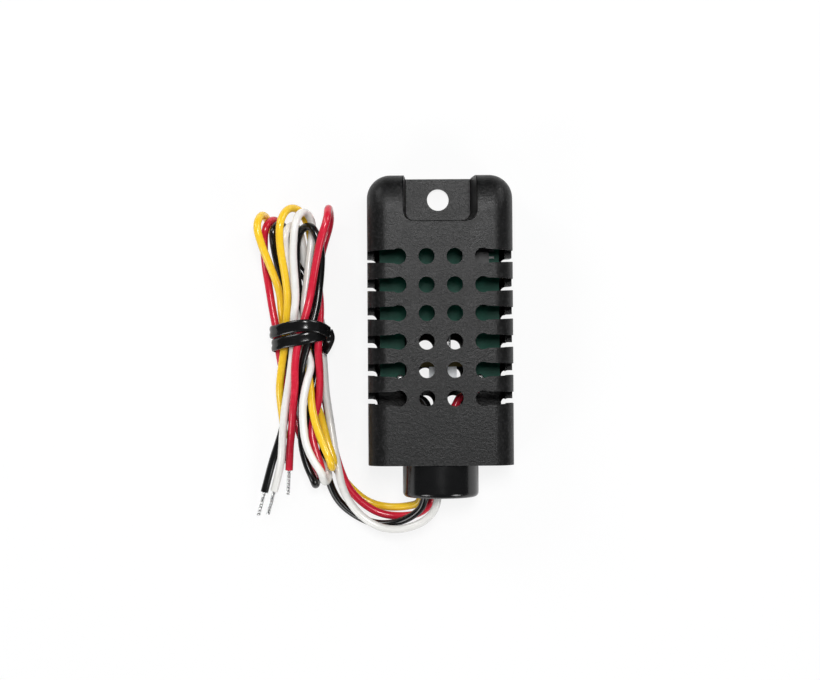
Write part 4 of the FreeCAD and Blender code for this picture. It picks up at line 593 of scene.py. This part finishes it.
# Twist tie: a coated ribbon with a groove along it, twice round the leads, and its turned end.
# Points in millimetres from the middle of the tie
TIE_LOOPS = [
    (-4.3, -2.1, 1.9), (-5.6, -1.75, 3.4), (-5.1, -1.5, 5.2), (-3.6, -1.1, 6.6),
    (-1.9, -0.8, 7.4), (-0.2, -0.5, 7.85), (1.6, -0.15, 7.7), (3.2, 0.2, 6.7),
    (4.2, 0.3, 5.0), (4.6, 0.2, 3.0), (4.2, -0.2, 1.3), (2.6, -0.6, 0.55), (0.0, -0.4, 0.5),
    (-2.6, 0.0, 0.55), (-4.6, 0.4, 1.0), (-5.9, 0.7, 2.4), (-5.8, 0.85, 4.4),
    (-4.7, 1.1, 6.0), (-3.1, 1.5, 7.1), (-1.3, 1.85, 7.9), (0.7, 2.0, 8.2), (2.6, 1.75, 7.6),
    (3.9, 1.3, 6.6), (4.9, 0.7, 5.6),
]
TIE_TAIL = [(4.8, 0.9, 5.7), (5.0, -0.3, 5.2), (4.6, -1.6, 4.6), (4.0, -3.0, 4.3)]
TIE_MIDDLE = np.array([-0.6, 0, 3.9])
LOOP_STEPS, TAIL_STEPS = 12, 16
TAIL_TURN = (50, 150)
LOOP_HALF, LOOP_THICK = 1.12, 0.3
TAIL_HALF, TAIL_THICK = 0.95, 0.36
OUTLINE_POINTS = 28
GROOVE_DEPTH, GROOVE_WIDTH = 0.42, 0.2
EDGE_POWER, FACE_POWER = 0.6, 0.75


def smooth_line(points, count):
    """Places spread along a smooth curve through the points."""
    points = np.array(points, dtype=float)
    ends = np.vstack([2 * points[0] - points[1], points, 2 * points[-1] - points[-2]])
    line = []
    for a, b, c, d in zip(ends, ends[1:], ends[2:], ends[3:]):
        for k in range(count):
            s = k / count
            line.append(0.5 * (2 * b + (c - a) * s + (2 * a - 5 * b + 4 * c - d) * s ** 2
                               + (3 * b - a - 3 * c + d) * s ** 3))
    line.append(points[-1])
    return np.array(line)


def ribbon(name, line, outward, half, thick):
    """A band with a groove along its middle, swept along a line with its face turned outward."""
    outline = []
    for k in range(OUTLINE_POINTS):
        angle = 2 * math.pi * k / OUTLINE_POINTS
        across, up = math.cos(angle), math.sin(angle)
        across = math.copysign(abs(across) ** EDGE_POWER, across)
        waist = 1 - GROOVE_DEPTH * math.exp(-(across / GROOVE_WIDTH) ** 2)
        outline.append((half * across,
                        thick * waist * math.copysign(abs(up) ** FACE_POWER, up)))
    verts, faces = [], []
    along = np.gradient(line, axis=0)
    for place, on, out in zip(line, along, outward):
        on = on / np.linalg.norm(on)
        out = out - on * np.dot(out, on)
        out = out / np.linalg.norm(out)
        side = np.cross(on, out)
        verts.extend(place + side * a + out * b for a, b in outline)
    size = len(outline)
    for ring_number in range(len(line) - 1):
        for k in range(size):
            low, high = ring_number * size, (ring_number + 1) * size
            faces.append((low + k, low + (k + 1) % size, high + (k + 1) % size, high + k))
    faces.append(tuple(reversed(range(size))))
    faces.append(tuple(range(len(verts) - size, len(verts))))
    mesh = bpy.data.meshes.new(name)
    mesh.from_pydata([tuple((vert + HANK) * MM) for vert in verts], [], faces)
    work = bmesh.new()
    work.from_mesh(mesh)
    bmesh.ops.recalc_face_normals(work, faces=work.faces)
    work.to_mesh(mesh)
    work.free()
    for face in mesh.polygons:
        face.use_smooth = len(face.vertices) == 4
    made = bpy.data.objects.new(name, mesh)
    scene.collection.objects.link(made)
    return made


def tie_pieces():
    loops = smooth_line(TIE_LOOPS, LOOP_STEPS)
    outward = (loops - TIE_MIDDLE) * (1, 0, 1)
    tail = smooth_line(TIE_TAIL, TAIL_STEPS)
    turns = np.radians(np.linspace(*TAIL_TURN, len(tail)))
    turned_out = np.stack([np.cos(turns), np.zeros(len(tail)), np.sin(turns)], axis=1)
    return [ribbon("tie_wraps", loops, outward, LOOP_HALF, LOOP_THICK),
            ribbon("tie_tail", tail, turned_out, TAIL_HALF, TAIL_THICK)]


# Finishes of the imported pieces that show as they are
FINISHES = {
    "front_cover": case_plastic, "back_cover": tab_plastic, "cable_collar": collar_plastic,
    "cable_grommet": grommet_rubber, "circuit_board": board_green,
    "controller_chip": chip_resin, "chip_pins": shade_darkened_tin, "capacitors": ceramic_body,
    "resistors": chip_resin, "solder_joints": shade_darkened_tin, "humidity_element": element_white,
    "element_carrier": carrier_laminate, "temperature_bead": bead_resin, "sensor_legs": tinned,
    "inner_conductors": tinned,
}
for name in LEADS:
    FINISHES[f"lead_{name}_inner"] = insulation[name]
for name, finish in FINISHES.items():
    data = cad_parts[name].data
    data.materials.clear()
    data.materials.append(finish)

tie = tie_pieces()
for piece in tie:
    piece.data.materials.append(tie_plastic)
    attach(piece, "root")
    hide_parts("twist_tie")

# Turns of the strands over each tip
TURNS = {"yellow": 1.2, "black": 1.5, "red": 1.35, "white": 1.65}
tips = {}
for name in LEADS:
    tips[name] = stripped_tip(name, TURNS[name])
    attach(tips[name], "root")
    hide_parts(f"lead_{name}_tip")

for name, lead in leads.items():
    lead.data.materials.append(insulation[name])
    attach(lead, "root")
    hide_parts(f"lead_{name}", f"lead_{name}_hank")

scene.view_settings.view_transform = "Standard"
